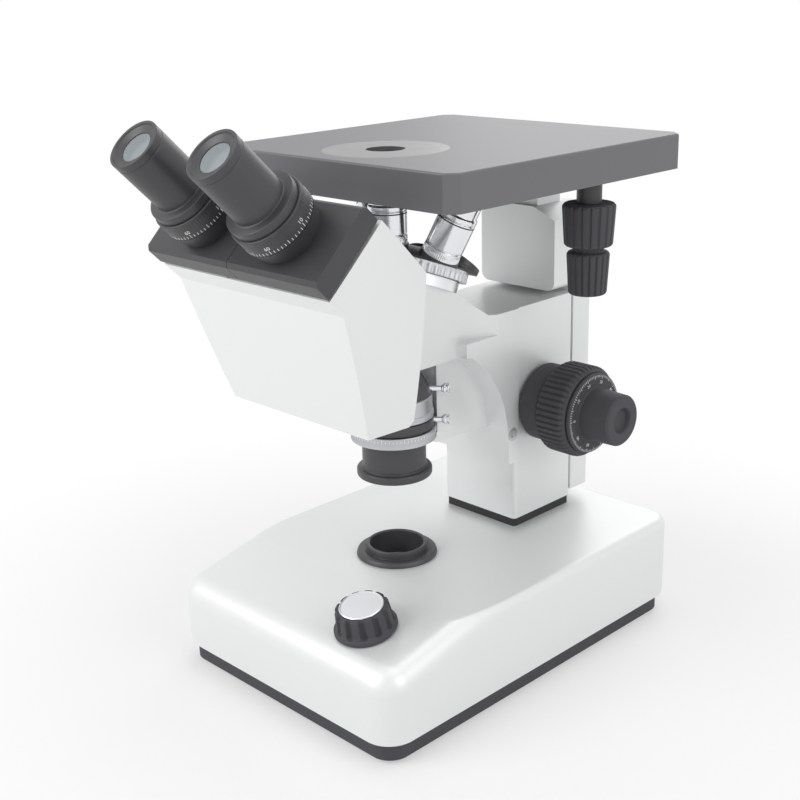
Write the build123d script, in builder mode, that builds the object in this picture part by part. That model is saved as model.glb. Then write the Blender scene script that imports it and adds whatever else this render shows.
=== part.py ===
from build123d import *
import math
import os

# Inverted reflected-light microscope, millimetres, +Z up, the user sits on the -Y side.
# The origin is the centre of the base plate's underside; the rubber feet reach below it.

# Clearances
running_gap = 0.3
shaft_gap = 0.05
thread_seat_gap = 0.1

# Base
base_width = 178.0
base_depth = 248.0
base_corner_radius = 16.0
base_plate_height = 11.0
base_plate_inset = 4.0
base_plate_floor = 3.0
base_plate_lip = 4.0
casing_height = 50.1
casing_wall = 3.8
casing_edge_radius = 5.0
casing_nose_radius = 14.0
slope_edge_chamfer = 5.0
slope_depth = 53.5
slope_angle = 12.0
foot_height = 2.4
foot_radius = 11.0
foot_inset = 20.0
foot_peg_radius = 3.0
foot_peg_height = 2.0
base_screw_radius = 2.0
base_screw_head_radius = 3.8
base_screw_head_height = 2.0
base_screw_length = 14.0
base_boss_radius = 6.0
base_boss_inset = 24.0
base_boss_end_inset = 52.0
vent_length = 40.0
vent_width = 4.0
vent_count = 5
vent_pitch = 9.0

# Optical axis and light collector
optical_y = -29.2
collector_flange_radius = 23.5
collector_flange_height = 3.0
collector_radius = 17.5
collector_bore = 15.6
collector_height = 7.0
collector_depth = 16.0
collector_lens_thickness = 5.0
collector_ledge = 1.5
collector_lens_radius = 32.0
socket_radius = 14.0
socket_height = 12.0
lamp_radius = 6.0
lamp_height = 14.0
board_width = 70.0
board_depth = 60.0
board_thickness = 1.6
board_standoff = 6.0
board_post_radius = 3.5
board_y = 62.0
transformer_width = 24.0
transformer_depth = 20.0
transformer_height = 18.0
transformer_x = -16.0
transformer_setback = 6.0
capacitor_radius = 5.0
capacitor_height = 14.0
capacitor_pitch = 14.0
capacitor_x = 12.0
capacitor_setback = 14.0

# Brightness control
knob_x = 46.0
knob_slope_distance = 27.5
knob_radius = 17.2
knob_skirt_height = 3.0
knob_height = 14.2
knob_grip_radius = 15.4
knob_scallops = 12
knob_scallop_radius = 2.6
knob_cap_radius = 11.5
knob_cap_height = 1.0
knob_shaft_radius = 3.0
control_radius = 11.0
control_height = 9.0
control_neck_radius = 4.5

# Rear inlet and switch
inlet_x = -38.0
inlet_width = 27.0
inlet_height = 20.0
inlet_depth = 24.0
inlet_flange_width = 40.0
inlet_flange_height = 26.0
inlet_flange_thickness = 3.0
inlet_opening_depth = 15.0
inlet_z = 34.0
switch_x = 14.0
switch_width = 14.0
switch_height = 20.0
switch_frame = 2.5
switch_depth = 16.0
switch_flange_thickness = 2.0
rocker_throw = 8.0
rocker_side_gap = 0.4
rocker_pivot_radius = 1.6
switch_wall = 1.0

# Pillar
pillar_width = 56.8
pillar_front = 42.7
pillar_depth = 53.6
pillar_wall = 6.0
pillar_back_wall = 9.0
pillar_height = 131.3
pillar_corner_radius = 2.5
gasket_height = 5.2
gasket_inset = 0.5

# Arm casting
arm_half_width = 22.0
cheek_half_width = 29.5
cheek_top = 185.6
cheek_bottom = 104.1
cheek_nose_y = 0.5
cheek_nose_height = 8.0
cheek_arc_start_y = 5.1
cheek_arc_drop = 0.6
cheek_arc_middle_y = 26.2
cheek_arc_middle_z = 154.2
cheek_foot_y = 36.5
arm_bottom = 176.3
arm_rear = 45.0
arm_blend_y = 0.0
arm_blend_end_y = 27.0
seat_back_y = 0.8
seat_rear_end_y = 22.0
web_half_width = 14.0
web_front = -17.0
web_bottom = 127.0
arm_screw_y = 39.8
arm_screw_z = 122.0
arm_screw_radius = 4.0

# Illuminator, from its foot upwards
illuminator_bottom = 111.0
foot_flange_radius = 21.5
foot_flange_height = 4.8
illuminator_radius = 18.2
illuminator_bore = 14.0
field_ring_radius = 24.3
field_ring_bottom = 133.2
field_ring_height = 6.4
field_ring_flutes = 48
groove_radius = 22.9
groove_height = 6.0
aperture_ring_radius = 23.0
aperture_ring_height = 13.0
ring_carrier_radius = 19.4
cone_height = 12.9
cone_top_radius = 15.6
neck_radius = 13.8
illuminator_lens_thickness = 5.0
screw_radius = 1.8
screw_head_radius = 3.0
screw_head_length = 3.4
screw_reach = 28.5
screw_angle = 45.0
field_screw_z = 142.6
aperture_screw_z = 161.0

# Nosepiece: a cone of objectives about a tilted axis
apex_z = 178.1
turret_tilt = 22.0
seat_distance = 44.1
disc_radius = 26.0
disc_height = 6.0
ring_radius = 30.0
ring_height = 6.2
ring_lip = 1.2
ring_flutes = 46
ring_flute_depth = 0.9
dome_radius = 28.6
objective_seat = 65.5
objective_thread_radius = 8.4
objective_thread_length = 1.0
seat_boss_radius = 11.2
seat_boss_height = 5.5
seat_boss_proud = 1.2
axle_radius = 6.0
beam_bore = 5.5
turret_positions = 5

# Objectives
objective_radius = 10.6
objective_length = 42.5
objective_tip_radius = 6.0
objective_bore = 4.0
plug_height = 3.0
plug_radius = 11.5

# Head housing: seat plane of the sliding plates tilted 45 degrees
tube_tilt = 45.0
head_seat_y = -112.85
head_seat_z = 257.5
head_top_half_width = 66.5
head_bottom_half_width = 53.0
head_middle_half_width = 62.3
head_middle_z = 216.6
head_back_y = -66.3
head_bottom_z = 162.5
head_back_bottom_z = 161.7
head_front_bottom_y = -98.1
head_front_top_y = -120.6
head_front_top_z = 231.8
plate_front_reach = 23.6
plate_rear_reach = 21.7
seam_gap = 0.15
plate_thickness = 11.8
plate_half_width = 66.0
plate_gap = 1.8
plate_bevel = 2.2
guide_thickness = 1.5
guide_width = 124.0
guide_window_half_width = 53.0
guide_window_length = 31.0
chamber_depth = 32.0
chamber_length = 34.0
chamber_half_width = 54.0
beam_height = 202.6
prism_size = 22.0
arm_chamber_half_width = 12.0
arm_chamber_rear_y = -16.0
tunnel_radius = 10.5
splitter_size = 20.0
splitter_thickness = 20.0
plate_prism_width = 22.0
plate_prism_length = 22.0
plate_prism_thickness = 14.0

# Eyepiece tubes
eye_spacing = 61.0
boss_height = 9.3
boss_radius = 17.5
focus_ring_radius = 20.0
focus_ring_height = 10.4
tube_flange_radius = 18.7
tube_flange_height = 5.0
eyepiece_radius = 14.1
eyepiece_length = 34.3
eyepiece_bore = 10.5
tube_radius = 13.6
tube_bore = 11.6
eye_lens_thickness = 4.0
inner_boss_length = 9.0
inner_boss_radius = 14.2

# Plate racks and their pinion
plate_pinion_radius = 5.0
plate_pinion_teeth = 16
plate_pinion_height = 3.5
plate_rack_width = 4.0
plate_rack_inner_end = 10.0
plate_rack_web = 15.0

# Focus slide and bracket
slide_front = 96.7
slide_rear = 114.5
slide_bottom = 69.6
slide_half_width = 28.4
bracket_front = 77.9
bracket_bottom = 200.6
bracket_side_top = 242.8
bracket_roof_angle = 23.0
bracket_corner_radius = 5.5
neck_half_width = 12.0
neck_front = 82.0
neck_rear = 103.0
rail_root = 15.0
rail_tip = 19.0
rail_thickness = 6.5
rail_inner = 11.0
rail_bottom = 86.0
rail_top = 188.0
rack_bottom = 104.0
rack_top = 170.0
rack_width = 10.0
rack_depth = 5.0
rack_shoe_height = 40.0
focus_up = 5.5
focus_down = 2.5

# Focus shafts and knobs
shaft_y = 66.8
shaft_z = 136.9
coarse_pinion_radius = 8.0
coarse_pinion_teeth = 20
coarse_pinion_width = 12.0
coarse_shaft_radius = 6.0
fine_shaft_radius = 3.0
collar_radius = 23.0
collar_outer_x = 44.0
coarse_knob_radius = 27.0
coarse_knob_inner_x = 45.0
coarse_knob_outer_x = 65.3
coarse_ribs = 48
rib_depth = 1.0
fine_disc_radius = 23.7
fine_disc_inner_x = 65.8
fine_disc_outer_x = 68.3
fine_knob_radius = 15.5
fine_knob_outer_x = 88.1
dimple_radius = 6.5

# Stage
stage_half_width = 90.0
stage_front = -74.4
stage_rear = 114.5
stage_bottom = 274.9
stage_height = 19.2
stage_top_thickness = 5.0
stage_skirt = 2.5
stage_corner = 6.0
stage_edge_bevel = 1.2
insert_radius = 34.0
insert_seat = 3.0
insert_hole_radius = 10.5
insert_ledge = 3.0
stage_travel = 7.5
stage_cross_travel = 5.5
stage_plate_thickness = 3.6
stage_plate_side_gap = 28.0
stage_plate_front = 27.5
carriage_side_gap = 6.0
carriage_front = -62.0
stage_plate_rear = 102.0
stage_plate_z = 275.4
carriage_thickness = 3.6
carriage_z = 281.6
opening_side_gap = 34.0
opening_rear = 24.0
stage_rail_width = 4.0
stage_rail_gap = 0.1
cross_rail_front_y = 36.0
cross_rail_rear_y = 88.0
cross_rail_side_gap = 50.0
long_rail_inset = 22.0
long_rail_length = 60.0

# Stage drive knobs, one above the other on one axis
drive_inset = 14.7
drive_y = 48.2
stem_radius = 6.8
stem_bottom = 263.0
upper_knob_bottom = 239.6
upper_knob_radius = 14.6
drive_neck_radius = 8.5
lower_knob_top = 236.4
lower_knob_bottom = 213.1
lower_knob_radius = 11.75
drive_flutes = 18
drive_flute_depth = 0.9
drive_pinion_radius = 4.0
drive_pinion_teeth = 16
drive_pinion_height = 2.4
cross_pinion_z = 276.0
long_pinion_z = 286.0
cross_shaft_radius = 2.0
long_shaft_radius = 3.2
drive_bore_gap = 0.05

# Derived places
casing_bottom = base_plate_height
casing_top = casing_bottom + casing_height
pillar_bottom = casing_top + gasket_height
pillar_top = pillar_bottom + pillar_height
pillar_rear = pillar_front + pillar_depth
pillar_half_width = pillar_width / 2
eye_x = eye_spacing / 2
slope_start_y = -base_depth / 2 + slope_depth
slope_drop = slope_depth * math.tan(math.radians(slope_angle))
inner_drop = (slope_depth - casing_wall) * math.tan(math.radians(slope_angle))
slope_edge_height = casing_top - casing_wall - inner_drop - 1
stage_top_z = stage_bottom + stage_height
stage_plate_half_width = stage_half_width - stage_plate_side_gap
carriage_half_width = stage_half_width - carriage_side_gap
opening_half_width = stage_half_width - opening_side_gap
cross_rail_length = 2 * (stage_half_width - cross_rail_side_gap)
long_rail_x = stage_half_width - long_rail_inset
drive_x = stage_half_width - drive_inset
stage_ceiling = stage_top_z - stage_top_thickness
groove_bottom = field_ring_bottom + field_ring_height
aperture_ring_bottom = groove_bottom + groove_height
cone_bottom = aperture_ring_bottom + aperture_ring_height
cone_top = cone_bottom + cone_height
boss_n = plate_gap + plate_thickness
focus_ring_n = boss_n + boss_height
flange_n = focus_ring_n + focus_ring_height
eyepiece_n = flange_n + tube_flange_height
eye_end_n = eyepiece_n + eyepiece_length

tilt = math.radians(turret_tilt)
turret_plane = Plane(
    origin=(0, optical_y, apex_z),
    x_dir=(1, 0, 0),
    z_dir=(0, math.sin(tilt), math.cos(tilt)),
)
lean = math.radians(tube_tilt)
head_plane = Plane(
    origin=(0, head_seat_y, head_seat_z),
    x_dir=(1, 0, 0),
    z_dir=(0, -math.sin(lean), math.cos(lean)),
)
slope = math.radians(slope_angle)
slope_plane = Plane(
    origin=(0, slope_start_y, casing_top),
    x_dir=(1, 0, 0),
    z_dir=(0, -math.sin(slope), math.cos(slope)),
)
shaft_plane = Plane(origin=(0, shaft_y, shaft_z), x_dir=(0, 1, 0), z_dir=(1, 0, 0))
drive_plane = Plane(origin=(drive_x, drive_y, 0))
axis_plane = Plane(origin=(0, optical_y, 0))
side_plane = Plane.YZ

os.makedirs("parts", exist_ok=True)


def objective_plane(angle, distance):
    """Plane across an objective's axis, at a distance from the apex of the cone."""
    swing = Axis(turret_plane.origin, turret_plane.z_dir)
    along = Vector(0, 0, 1).rotate(swing, angle)
    across = Vector(1, 0, 0).rotate(swing, angle)
    return Plane(origin=turret_plane.origin + along * distance, x_dir=across, z_dir=along)


def screw_plane(height, angle):
    """Plane across a centring screw that points out of the illuminator at an angle from +X."""
    turn = math.radians(angle)
    outward = (math.cos(turn), math.sin(turn), 0)
    return Plane(origin=(0, optical_y, height), x_dir=(-outward[1], outward[0], 0), z_dir=outward)


def teeth_polygon(module):
    """Corners of one straight-flanked tooth that grows along +X from the pitch line."""
    root = -1.3 * module
    tip = 0.9 * module
    flank = math.tan(math.radians(20))
    half = math.pi * module / 4 - 0.14 * module
    return [
        (root, -half + flank * root),
        (tip, -half + flank * tip),
        (tip, half - flank * tip),
        (root, half - flank * root),
    ]


def pinion_outline(pitch_radius, teeth, start_angle=0.0):
    """Toothed outline of a small pinion, drawn about the sketch's origin."""
    module = 2 * pitch_radius / teeth
    root = 1.15 * module
    Circle(pitch_radius - root)
    with PolarLocations(pitch_radius, teeth, start_angle=start_angle):
        Polygon(*teeth_polygon(module), align=None)


def rack_outline(pitch_radius, teeth, start, count, depth):
    """Rack along +X whose teeth point to +Y; the pitch line lies on the X axis."""
    module = 2 * pitch_radius / teeth
    pitch = math.pi * module
    root = 1.3 * module
    length = count * pitch
    with Locations((start + length / 2, -root - (depth - root) / 2)):
        Rectangle(length, depth - root)
    middle = start + length / 2
    with Locations((middle, 0)):
        with GridLocations(pitch, 0, count, 1):
            Polygon(*teeth_polygon(module), rotation=90, align=None)


# Base
foot_places = GridLocations(base_width - 2 * foot_inset, base_depth - 2 * foot_inset, 2, 2)
boss_places = GridLocations(
    base_width - 2 * base_boss_inset, base_depth - 2 * base_boss_end_inset, 2, 2
)
tray_width = base_width - 2 * base_plate_inset
tray_depth = base_depth - 2 * base_plate_inset
tray_radius = base_corner_radius - base_plate_inset
board_top = base_plate_floor + board_standoff

with BuildPart() as casing_cavity:
    with BuildSketch(side_plane):
        with BuildLine():
            Polyline(
                (base_depth / 2 - casing_wall, casing_bottom),
                (base_depth / 2 - casing_wall, casing_top - casing_wall),
                (slope_start_y, casing_top - casing_wall),
                (-base_depth / 2 + casing_wall, casing_top - casing_wall - inner_drop),
                (-base_depth / 2 + casing_wall, casing_bottom),
                close=True,
            )
        make_face()
    extrude(amount=base_width / 2 - casing_wall, both=True)
    fillet(casing_cavity.edges().filter_by(Axis.Z), radius=base_corner_radius - casing_wall)
    slope_edges = casing_cavity.edges().filter_by(
        lambda edge: edge.center().Y < slope_start_y and edge.center().Z > slope_edge_height
    )
    chamfer(slope_edges, length=slope_edge_chamfer)
    with BuildSketch(Plane.XY.offset(casing_bottom)):
        with boss_places:
            Circle(base_boss_radius)
    extrude(amount=casing_height, mode=Mode.SUBTRACT)

with BuildPart() as base_casing:
    with BuildSketch(side_plane):
        with BuildLine():
            Polyline(
                (base_depth / 2, casing_bottom),
                (base_depth / 2, casing_top),
                (slope_start_y, casing_top),
                (-base_depth / 2, casing_top - slope_drop),
                (-base_depth / 2, casing_bottom),
                close=True,
            )
        make_face()
    extrude(amount=base_width / 2, both=True)
    corners = base_casing.edges().filter_by(Axis.Z)
    fillet(corners, radius=base_corner_radius)
    nose = base_casing.edges().filter_by_position(
        Axis.Z, casing_bottom + 1, casing_top - 1
    ).filter_by(Axis.X).sort_by(Axis.Y)[:1]
    fillet(nose, radius=casing_nose_radius)
    rim = base_casing.faces().sort_by(Axis.Z)[-1].edges().filter_by_position(
        Axis.Y, slope_start_y + 1, base_depth
    )
    fillet(rim, radius=casing_edge_radius)
    add(casing_cavity.part, mode=Mode.SUBTRACT)
    with BuildSketch(Plane.XY.offset(base_plate_floor)):
        with boss_places:
            Circle(base_boss_radius)
    extrude(amount=casing_bottom - base_plate_floor)
    with BuildSketch(Plane.XY.offset(base_plate_floor)):
        with boss_places:
            Circle(base_screw_radius + shaft_gap)
    extrude(amount=base_screw_length + 1, mode=Mode.SUBTRACT)
    with BuildSketch(axis_plane.offset(casing_top)):
        Circle(collector_radius + shaft_gap)
    extrude(amount=-2 * casing_wall, mode=Mode.SUBTRACT)
    with BuildSketch(slope_plane):
        with Locations((knob_x, -knob_slope_distance)):
            Circle(control_neck_radius + shaft_gap)
    extrude(amount=-2 * casing_wall, mode=Mode.SUBTRACT)
    with BuildSketch(Plane.XZ.offset(-base_depth / 2)):
        with Locations((inlet_x, inlet_z)):
            Rectangle(inlet_width, inlet_height)
        with Locations((switch_x, inlet_z)):
            Rectangle(switch_width, switch_height)
    extrude(amount=casing_wall, mode=Mode.SUBTRACT)
base_casing.part.label = "base_casing"
export_step(base_casing.part, "parts/base_casing.step")

with BuildPart() as base_plate:
    with BuildSketch():
        RectangleRounded(tray_width, tray_depth, tray_radius)
    extrude(amount=base_plate_height)
    with BuildSketch(Plane.XY.offset(base_plate_height)):
        RectangleRounded(
            tray_width - 2 * thread_seat_gap,
            tray_depth - 2 * thread_seat_gap,
            tray_radius - thread_seat_gap,
        )
    extrude(amount=base_plate_lip)
    with BuildSketch(Plane.XY.offset(base_plate_floor)):
        RectangleRounded(
            tray_width - 2 * base_plate_floor,
            tray_depth - 2 * base_plate_floor,
            tray_radius - base_plate_floor,
        )
    extrude(amount=base_plate_height + base_plate_lip, mode=Mode.SUBTRACT)
    with BuildSketch():
        with foot_places:
            Circle(foot_peg_radius)
        with boss_places:
            Circle(base_screw_radius + shaft_gap)
        with Locations((0, optical_y)):
            with GridLocations(0, vent_pitch, 1, vent_count):
                SlotOverall(vent_length, vent_width)
    extrude(amount=base_plate_floor, mode=Mode.SUBTRACT)
    with BuildSketch(Plane.XY.offset(base_plate_floor)):
        with Locations((0, board_y)):
            with GridLocations(board_width - 10, board_depth - 10, 2, 2):
                Circle(board_post_radius)
    extrude(amount=board_standoff)
base_plate.part.label = "base_plate"
export_step(base_plate.part, "parts/base_plate.step")

with BuildPart() as rubber_feet:
    with BuildSketch(Plane.XY.offset(-foot_height)):
        with foot_places:
            Circle(foot_radius)
    extrude(amount=foot_height, taper=4)
    with BuildSketch():
        with foot_places:
            Circle(foot_peg_radius)
    extrude(amount=foot_peg_height)
rubber_feet.part.label = "rubber_feet"
export_step(rubber_feet.part, "parts/rubber_feet.step")

with BuildPart() as base_screws:
    with BuildSketch(Plane.XY.offset(-base_screw_head_height)):
        with boss_places:
            Circle(base_screw_head_radius)
    extrude(amount=base_screw_head_height)
    with BuildSketch(Plane.XY.offset(-base_screw_head_height)):
        with boss_places:
            Circle(base_screw_radius)
    extrude(amount=base_screw_head_height + base_screw_length)
    with BuildSketch(Plane.XY.offset(-base_screw_head_height)):
        with boss_places:
            RegularPolygon(base_screw_radius, 6)
    extrude(amount=base_screw_head_height * 0.6, mode=Mode.SUBTRACT)
base_screws.part.label = "base_screws"
export_step(base_screws.part, "parts/base_screws.step")

# Lamp house in the base
collector_bottom = casing_top + collector_height - collector_depth - collector_lens_thickness

with BuildPart() as collector_ring:
    with BuildSketch(axis_plane.offset(casing_top)):
        Circle(collector_flange_radius)
    extrude(amount=collector_flange_height, taper=8)
    with BuildSketch(axis_plane.offset(collector_bottom)):
        Circle(collector_radius)
    extrude(amount=casing_top + collector_height - collector_bottom)
    chamfer(collector_ring.edges().filter_by(GeomType.CIRCLE).sort_by(Axis.Z)[-1], length=0.6)
    with BuildSketch(axis_plane.offset(collector_bottom)):
        Circle(collector_bore - collector_ledge)
    extrude(amount=collector_depth + collector_lens_thickness, mode=Mode.SUBTRACT)
    with BuildSketch(axis_plane.offset(collector_bottom + collector_lens_thickness)):
        Circle(collector_bore)
    extrude(amount=collector_depth, mode=Mode.SUBTRACT)
collector_ring.part.label = "collector_ring"
export_step(collector_ring.part, "parts/collector_ring.step")

lens_base = collector_bottom + collector_lens_thickness
lens_rim_height = 1.5
lens_drop = collector_lens_radius - math.sqrt(collector_lens_radius**2 - collector_bore**2)
lens_half_drop = collector_lens_radius - math.sqrt(
    collector_lens_radius**2 - collector_bore**2 / 4
)
lens_crown = lens_base + lens_rim_height + lens_drop

with BuildPart() as collector_lens:
    with BuildSketch(side_plane):
        with BuildLine():
            Polyline(
                (optical_y, lens_crown),
                (optical_y, lens_base),
                (optical_y + collector_bore, lens_base),
                (optical_y + collector_bore, lens_base + lens_rim_height),
            )
            ThreePointArc(
                (optical_y + collector_bore, lens_base + lens_rim_height),
                (optical_y + collector_bore / 2, lens_crown - lens_half_drop),
                (optical_y, lens_crown),
            )
        make_face()
    revolve(axis=Axis((0, optical_y, 0), (0, 0, 1)))
collector_lens.part.label = "collector_lens"
export_step(collector_lens.part, "parts/collector_lens.step")

with BuildPart() as lamp:
    with BuildSketch(axis_plane.offset(base_plate_floor)):
        Circle(socket_radius)
    extrude(amount=socket_height)
    with BuildSketch(axis_plane.offset(base_plate_floor + socket_height)):
        Circle(lamp_radius)
    extrude(amount=lamp_height)
    fillet(lamp.edges().filter_by(GeomType.CIRCLE).sort_by(Axis.Z)[-1], radius=lamp_radius * 0.8)
lamp.part.label = "lamp"
export_step(lamp.part, "parts/lamp.step")

with BuildPart() as power_board:
    with BuildSketch(Plane.XY.offset(board_top)):
        with Locations((0, board_y)):
            Rectangle(board_width, board_depth)
    extrude(amount=board_thickness)
    with BuildSketch(Plane.XY.offset(board_top + board_thickness)):
        with Locations((transformer_x, board_y - transformer_setback)):
            Rectangle(transformer_width, transformer_depth)
    extrude(amount=transformer_height)
    with BuildSketch(Plane.XY.offset(board_top + board_thickness)):
        with Locations((capacitor_x, board_y - capacitor_setback)):
            with GridLocations(capacitor_pitch, 0, 2, 1):
                Circle(capacitor_radius)
    extrude(amount=capacitor_height)
power_board.part.label = "power_board"
export_step(power_board.part, "parts/power_board.step")

with BuildPart() as power_inlet:
    with BuildSketch(Plane.XZ.offset(-base_depth / 2)):
        with Locations((inlet_x, inlet_z)):
            RectangleRounded(inlet_flange_width, inlet_flange_height, 3)
    extrude(amount=-inlet_flange_thickness)
    with BuildSketch(Plane.XZ.offset(-base_depth / 2)):
        with Locations((inlet_x, inlet_z)):
            Rectangle(inlet_width - 2 * thread_seat_gap, inlet_height - 2 * thread_seat_gap)
    extrude(amount=inlet_depth)
    with BuildSketch(Plane.XZ.offset(-base_depth / 2 - inlet_flange_thickness)):
        with Locations((inlet_x, inlet_z)):
            Rectangle(inlet_width - 3, inlet_height - 4)
    extrude(amount=inlet_opening_depth, mode=Mode.SUBTRACT)
    with BuildSketch(Plane.XZ.offset(-base_depth / 2 - inlet_flange_thickness + inlet_opening_depth)):
        with Locations((inlet_x, inlet_z)):
            with Locations((-7, -2), (7, -2), (0, 2)):
                Rectangle(2, 4)
    extrude(amount=-10)
power_inlet.part.label = "power_inlet"
export_step(power_inlet.part, "parts/power_inlet.step")

with BuildPart() as switch_frame_piece:
    with BuildSketch(Plane.XZ.offset(-base_depth / 2)):
        with Locations((switch_x, inlet_z)):
            RectangleRounded(
                switch_width + 2 * switch_frame, switch_height + 2 * switch_frame, 1.5
            )
    extrude(amount=-switch_flange_thickness)
    with BuildSketch(Plane.XZ.offset(-base_depth / 2)):
        with Locations((switch_x, inlet_z)):
            Rectangle(switch_width - 2 * thread_seat_gap, switch_height - 2 * thread_seat_gap)
    extrude(amount=switch_depth)
    with BuildSketch(Plane.XZ.offset(-base_depth / 2 - switch_flange_thickness)):
        with Locations((switch_x, inlet_z)):
            Rectangle(switch_width - 2 * switch_wall, switch_height - 2 * switch_wall)
    extrude(amount=switch_flange_thickness + 9, mode=Mode.SUBTRACT)
switch_frame_piece.part.label = "switch_frame"
export_step(switch_frame_piece.part, "parts/switch_frame.step")

rocker_pivot_y = base_depth / 2 - 3.0
rocker_half = switch_height / 2 - 2.0

with BuildPart() as power_switch:
    with BuildSketch(Plane.YZ.offset(switch_x)):
        with Locations(Location((rocker_pivot_y, inlet_z), -rocker_throw)):
            Polygon(
                (-3.0, -4.0),
                (3.8, -rocker_half),
                (2.8, 0),
                (3.8, rocker_half),
                (-3.0, 4.0),
                align=None,
            )
    extrude(amount=switch_width / 2 - switch_wall - rocker_side_gap, both=True)
    with BuildSketch(Plane.YZ.offset(switch_x)):
        with Locations((rocker_pivot_y, inlet_z)):
            Circle(rocker_pivot_radius)
    extrude(amount=switch_width / 2 - switch_wall - shaft_gap, both=True)
power_switch.part.label = "power_switch"
export_step(power_switch.part, "parts/power_switch.step")

# Brightness control and its knob on the sloped front
knob_plane = Plane(
    origin=slope_plane.from_local_coords((knob_x, -knob_slope_distance, 0)),
    x_dir=(1, 0, 0),
    z_dir=slope_plane.z_dir,
)

with BuildPart() as brightness_control:
    with BuildSketch(knob_plane.offset(-casing_wall)):
        Circle(control_radius)
    extrude(amount=-control_height)
    with BuildSketch(knob_plane.offset(-casing_wall)):
        Circle(control_neck_radius)
        Circle(knob_shaft_radius + shaft_gap, mode=Mode.SUBTRACT)
    extrude(amount=casing_wall)
brightness_control.part.label = "brightness_control"
export_step(brightness_control.part, "parts/brightness_control.step")

with BuildPart() as brightness_knob:
    with BuildSketch(knob_plane.offset(running_gap)):
        Circle(knob_radius)
    extrude(amount=knob_skirt_height)
    with BuildSketch(knob_plane.offset(running_gap + knob_skirt_height)):
        Circle(knob_grip_radius)
        with PolarLocations(knob_grip_radius + knob_scallop_radius * 0.6, knob_scallops):
            Circle(knob_scallop_radius, mode=Mode.SUBTRACT)
    extrude(amount=knob_height - knob_skirt_height, taper=4)
    with BuildSketch(knob_plane.offset(running_gap)):
        Circle(knob_shaft_radius)
    extrude(amount=-casing_wall)
brightness_knob.part.label = "brightness_knob"
export_step(brightness_knob.part, "parts/brightness_knob.step")

with BuildPart() as brightness_cap:
    with BuildSketch(knob_plane.offset(running_gap + knob_height)):
        Circle(knob_cap_radius)
    extrude(amount=knob_cap_height, taper=20)
brightness_cap.part.label = "brightness_cap"
export_step(brightness_cap.part, "parts/brightness_cap.step")

# Pillar
rack_pitch_y = shaft_y + coarse_pinion_radius
slot_half_width = rack_width / 2 + 1.0
shoe_bottom = rack_bottom + (rack_top - rack_bottom - rack_shoe_height) / 2
shoe_top = shoe_bottom + rack_shoe_height

with BuildPart() as pillar_gasket:
    with BuildSketch(Plane.XY.offset(casing_top)):
        with Locations((0, pillar_front + pillar_depth / 2)):
            RectangleRounded(
                pillar_width - 2 * gasket_inset,
                pillar_depth - 2 * gasket_inset,
                pillar_corner_radius,
            )
    extrude(amount=gasket_height)
    with BuildSketch(Plane.XY.offset(casing_top)):
        with Locations((0, pillar_front + pillar_depth / 2)):
            Rectangle(pillar_width - 2 * pillar_wall, pillar_depth - 2 * pillar_wall)
    extrude(amount=gasket_height, mode=Mode.SUBTRACT)
pillar_gasket.part.label = "pillar_gasket"
export_step(pillar_gasket.part, "parts/pillar_gasket.step")

with BuildPart() as pillar:
    with BuildSketch(Plane.XY.offset(pillar_bottom)):
        with Locations((0, pillar_front + pillar_depth / 2)):
            RectangleRounded(pillar_width, pillar_depth, pillar_corner_radius)
    extrude(amount=pillar_height)
    with BuildSketch(Plane.XY.offset(pillar_bottom)):
        with Locations(
            (0, pillar_front + pillar_wall + (pillar_depth - pillar_wall - pillar_back_wall) / 2)
        ):
            Rectangle(
                pillar_width - 2 * pillar_wall, pillar_depth - pillar_wall - pillar_back_wall
            )
    extrude(amount=pillar_height - pillar_wall, mode=Mode.SUBTRACT)
    with BuildSketch(shaft_plane.offset(-pillar_half_width)):
        Circle(coarse_shaft_radius + shaft_gap)
    extrude(amount=pillar_width, mode=Mode.SUBTRACT)
    with BuildSketch(Plane.XZ.offset(-pillar_rear)):
        with Locations((0, (shoe_bottom + shoe_top) / 2 + (focus_up - focus_down) / 2)):
            Rectangle(
                2 * slot_half_width, rack_shoe_height + focus_up + focus_down + 2 * running_gap
            )
    extrude(amount=pillar_back_wall, mode=Mode.SUBTRACT)
pillar.part.label = "pillar"
export_step(pillar.part, "parts/pillar.step")

with BuildPart() as guide_rails:
    with BuildSketch(Plane.XY.offset(rail_bottom)):
        Polygon(
            (rail_inner, pillar_rear),
            (rail_root, pillar_rear),
            (rail_tip, pillar_rear + rail_thickness),
            (rail_inner, pillar_rear + rail_thickness),
            align=None,
        )
        mirror(about=Plane.YZ)
    extrude(amount=rail_top - rail_bottom)
guide_rails.part.label = "guide_rails"
export_step(guide_rails.part, "parts/guide_rails.step")

# Arm casting
seat_point = turret_plane.from_local_coords((0, 0, seat_distance))
seat_slope = math.tan(tilt)


def seat_height(y):
    """Height of the nosepiece seat plane at a distance along Y."""
    return seat_point.Z - (y - seat_point.Y) * seat_slope


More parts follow.
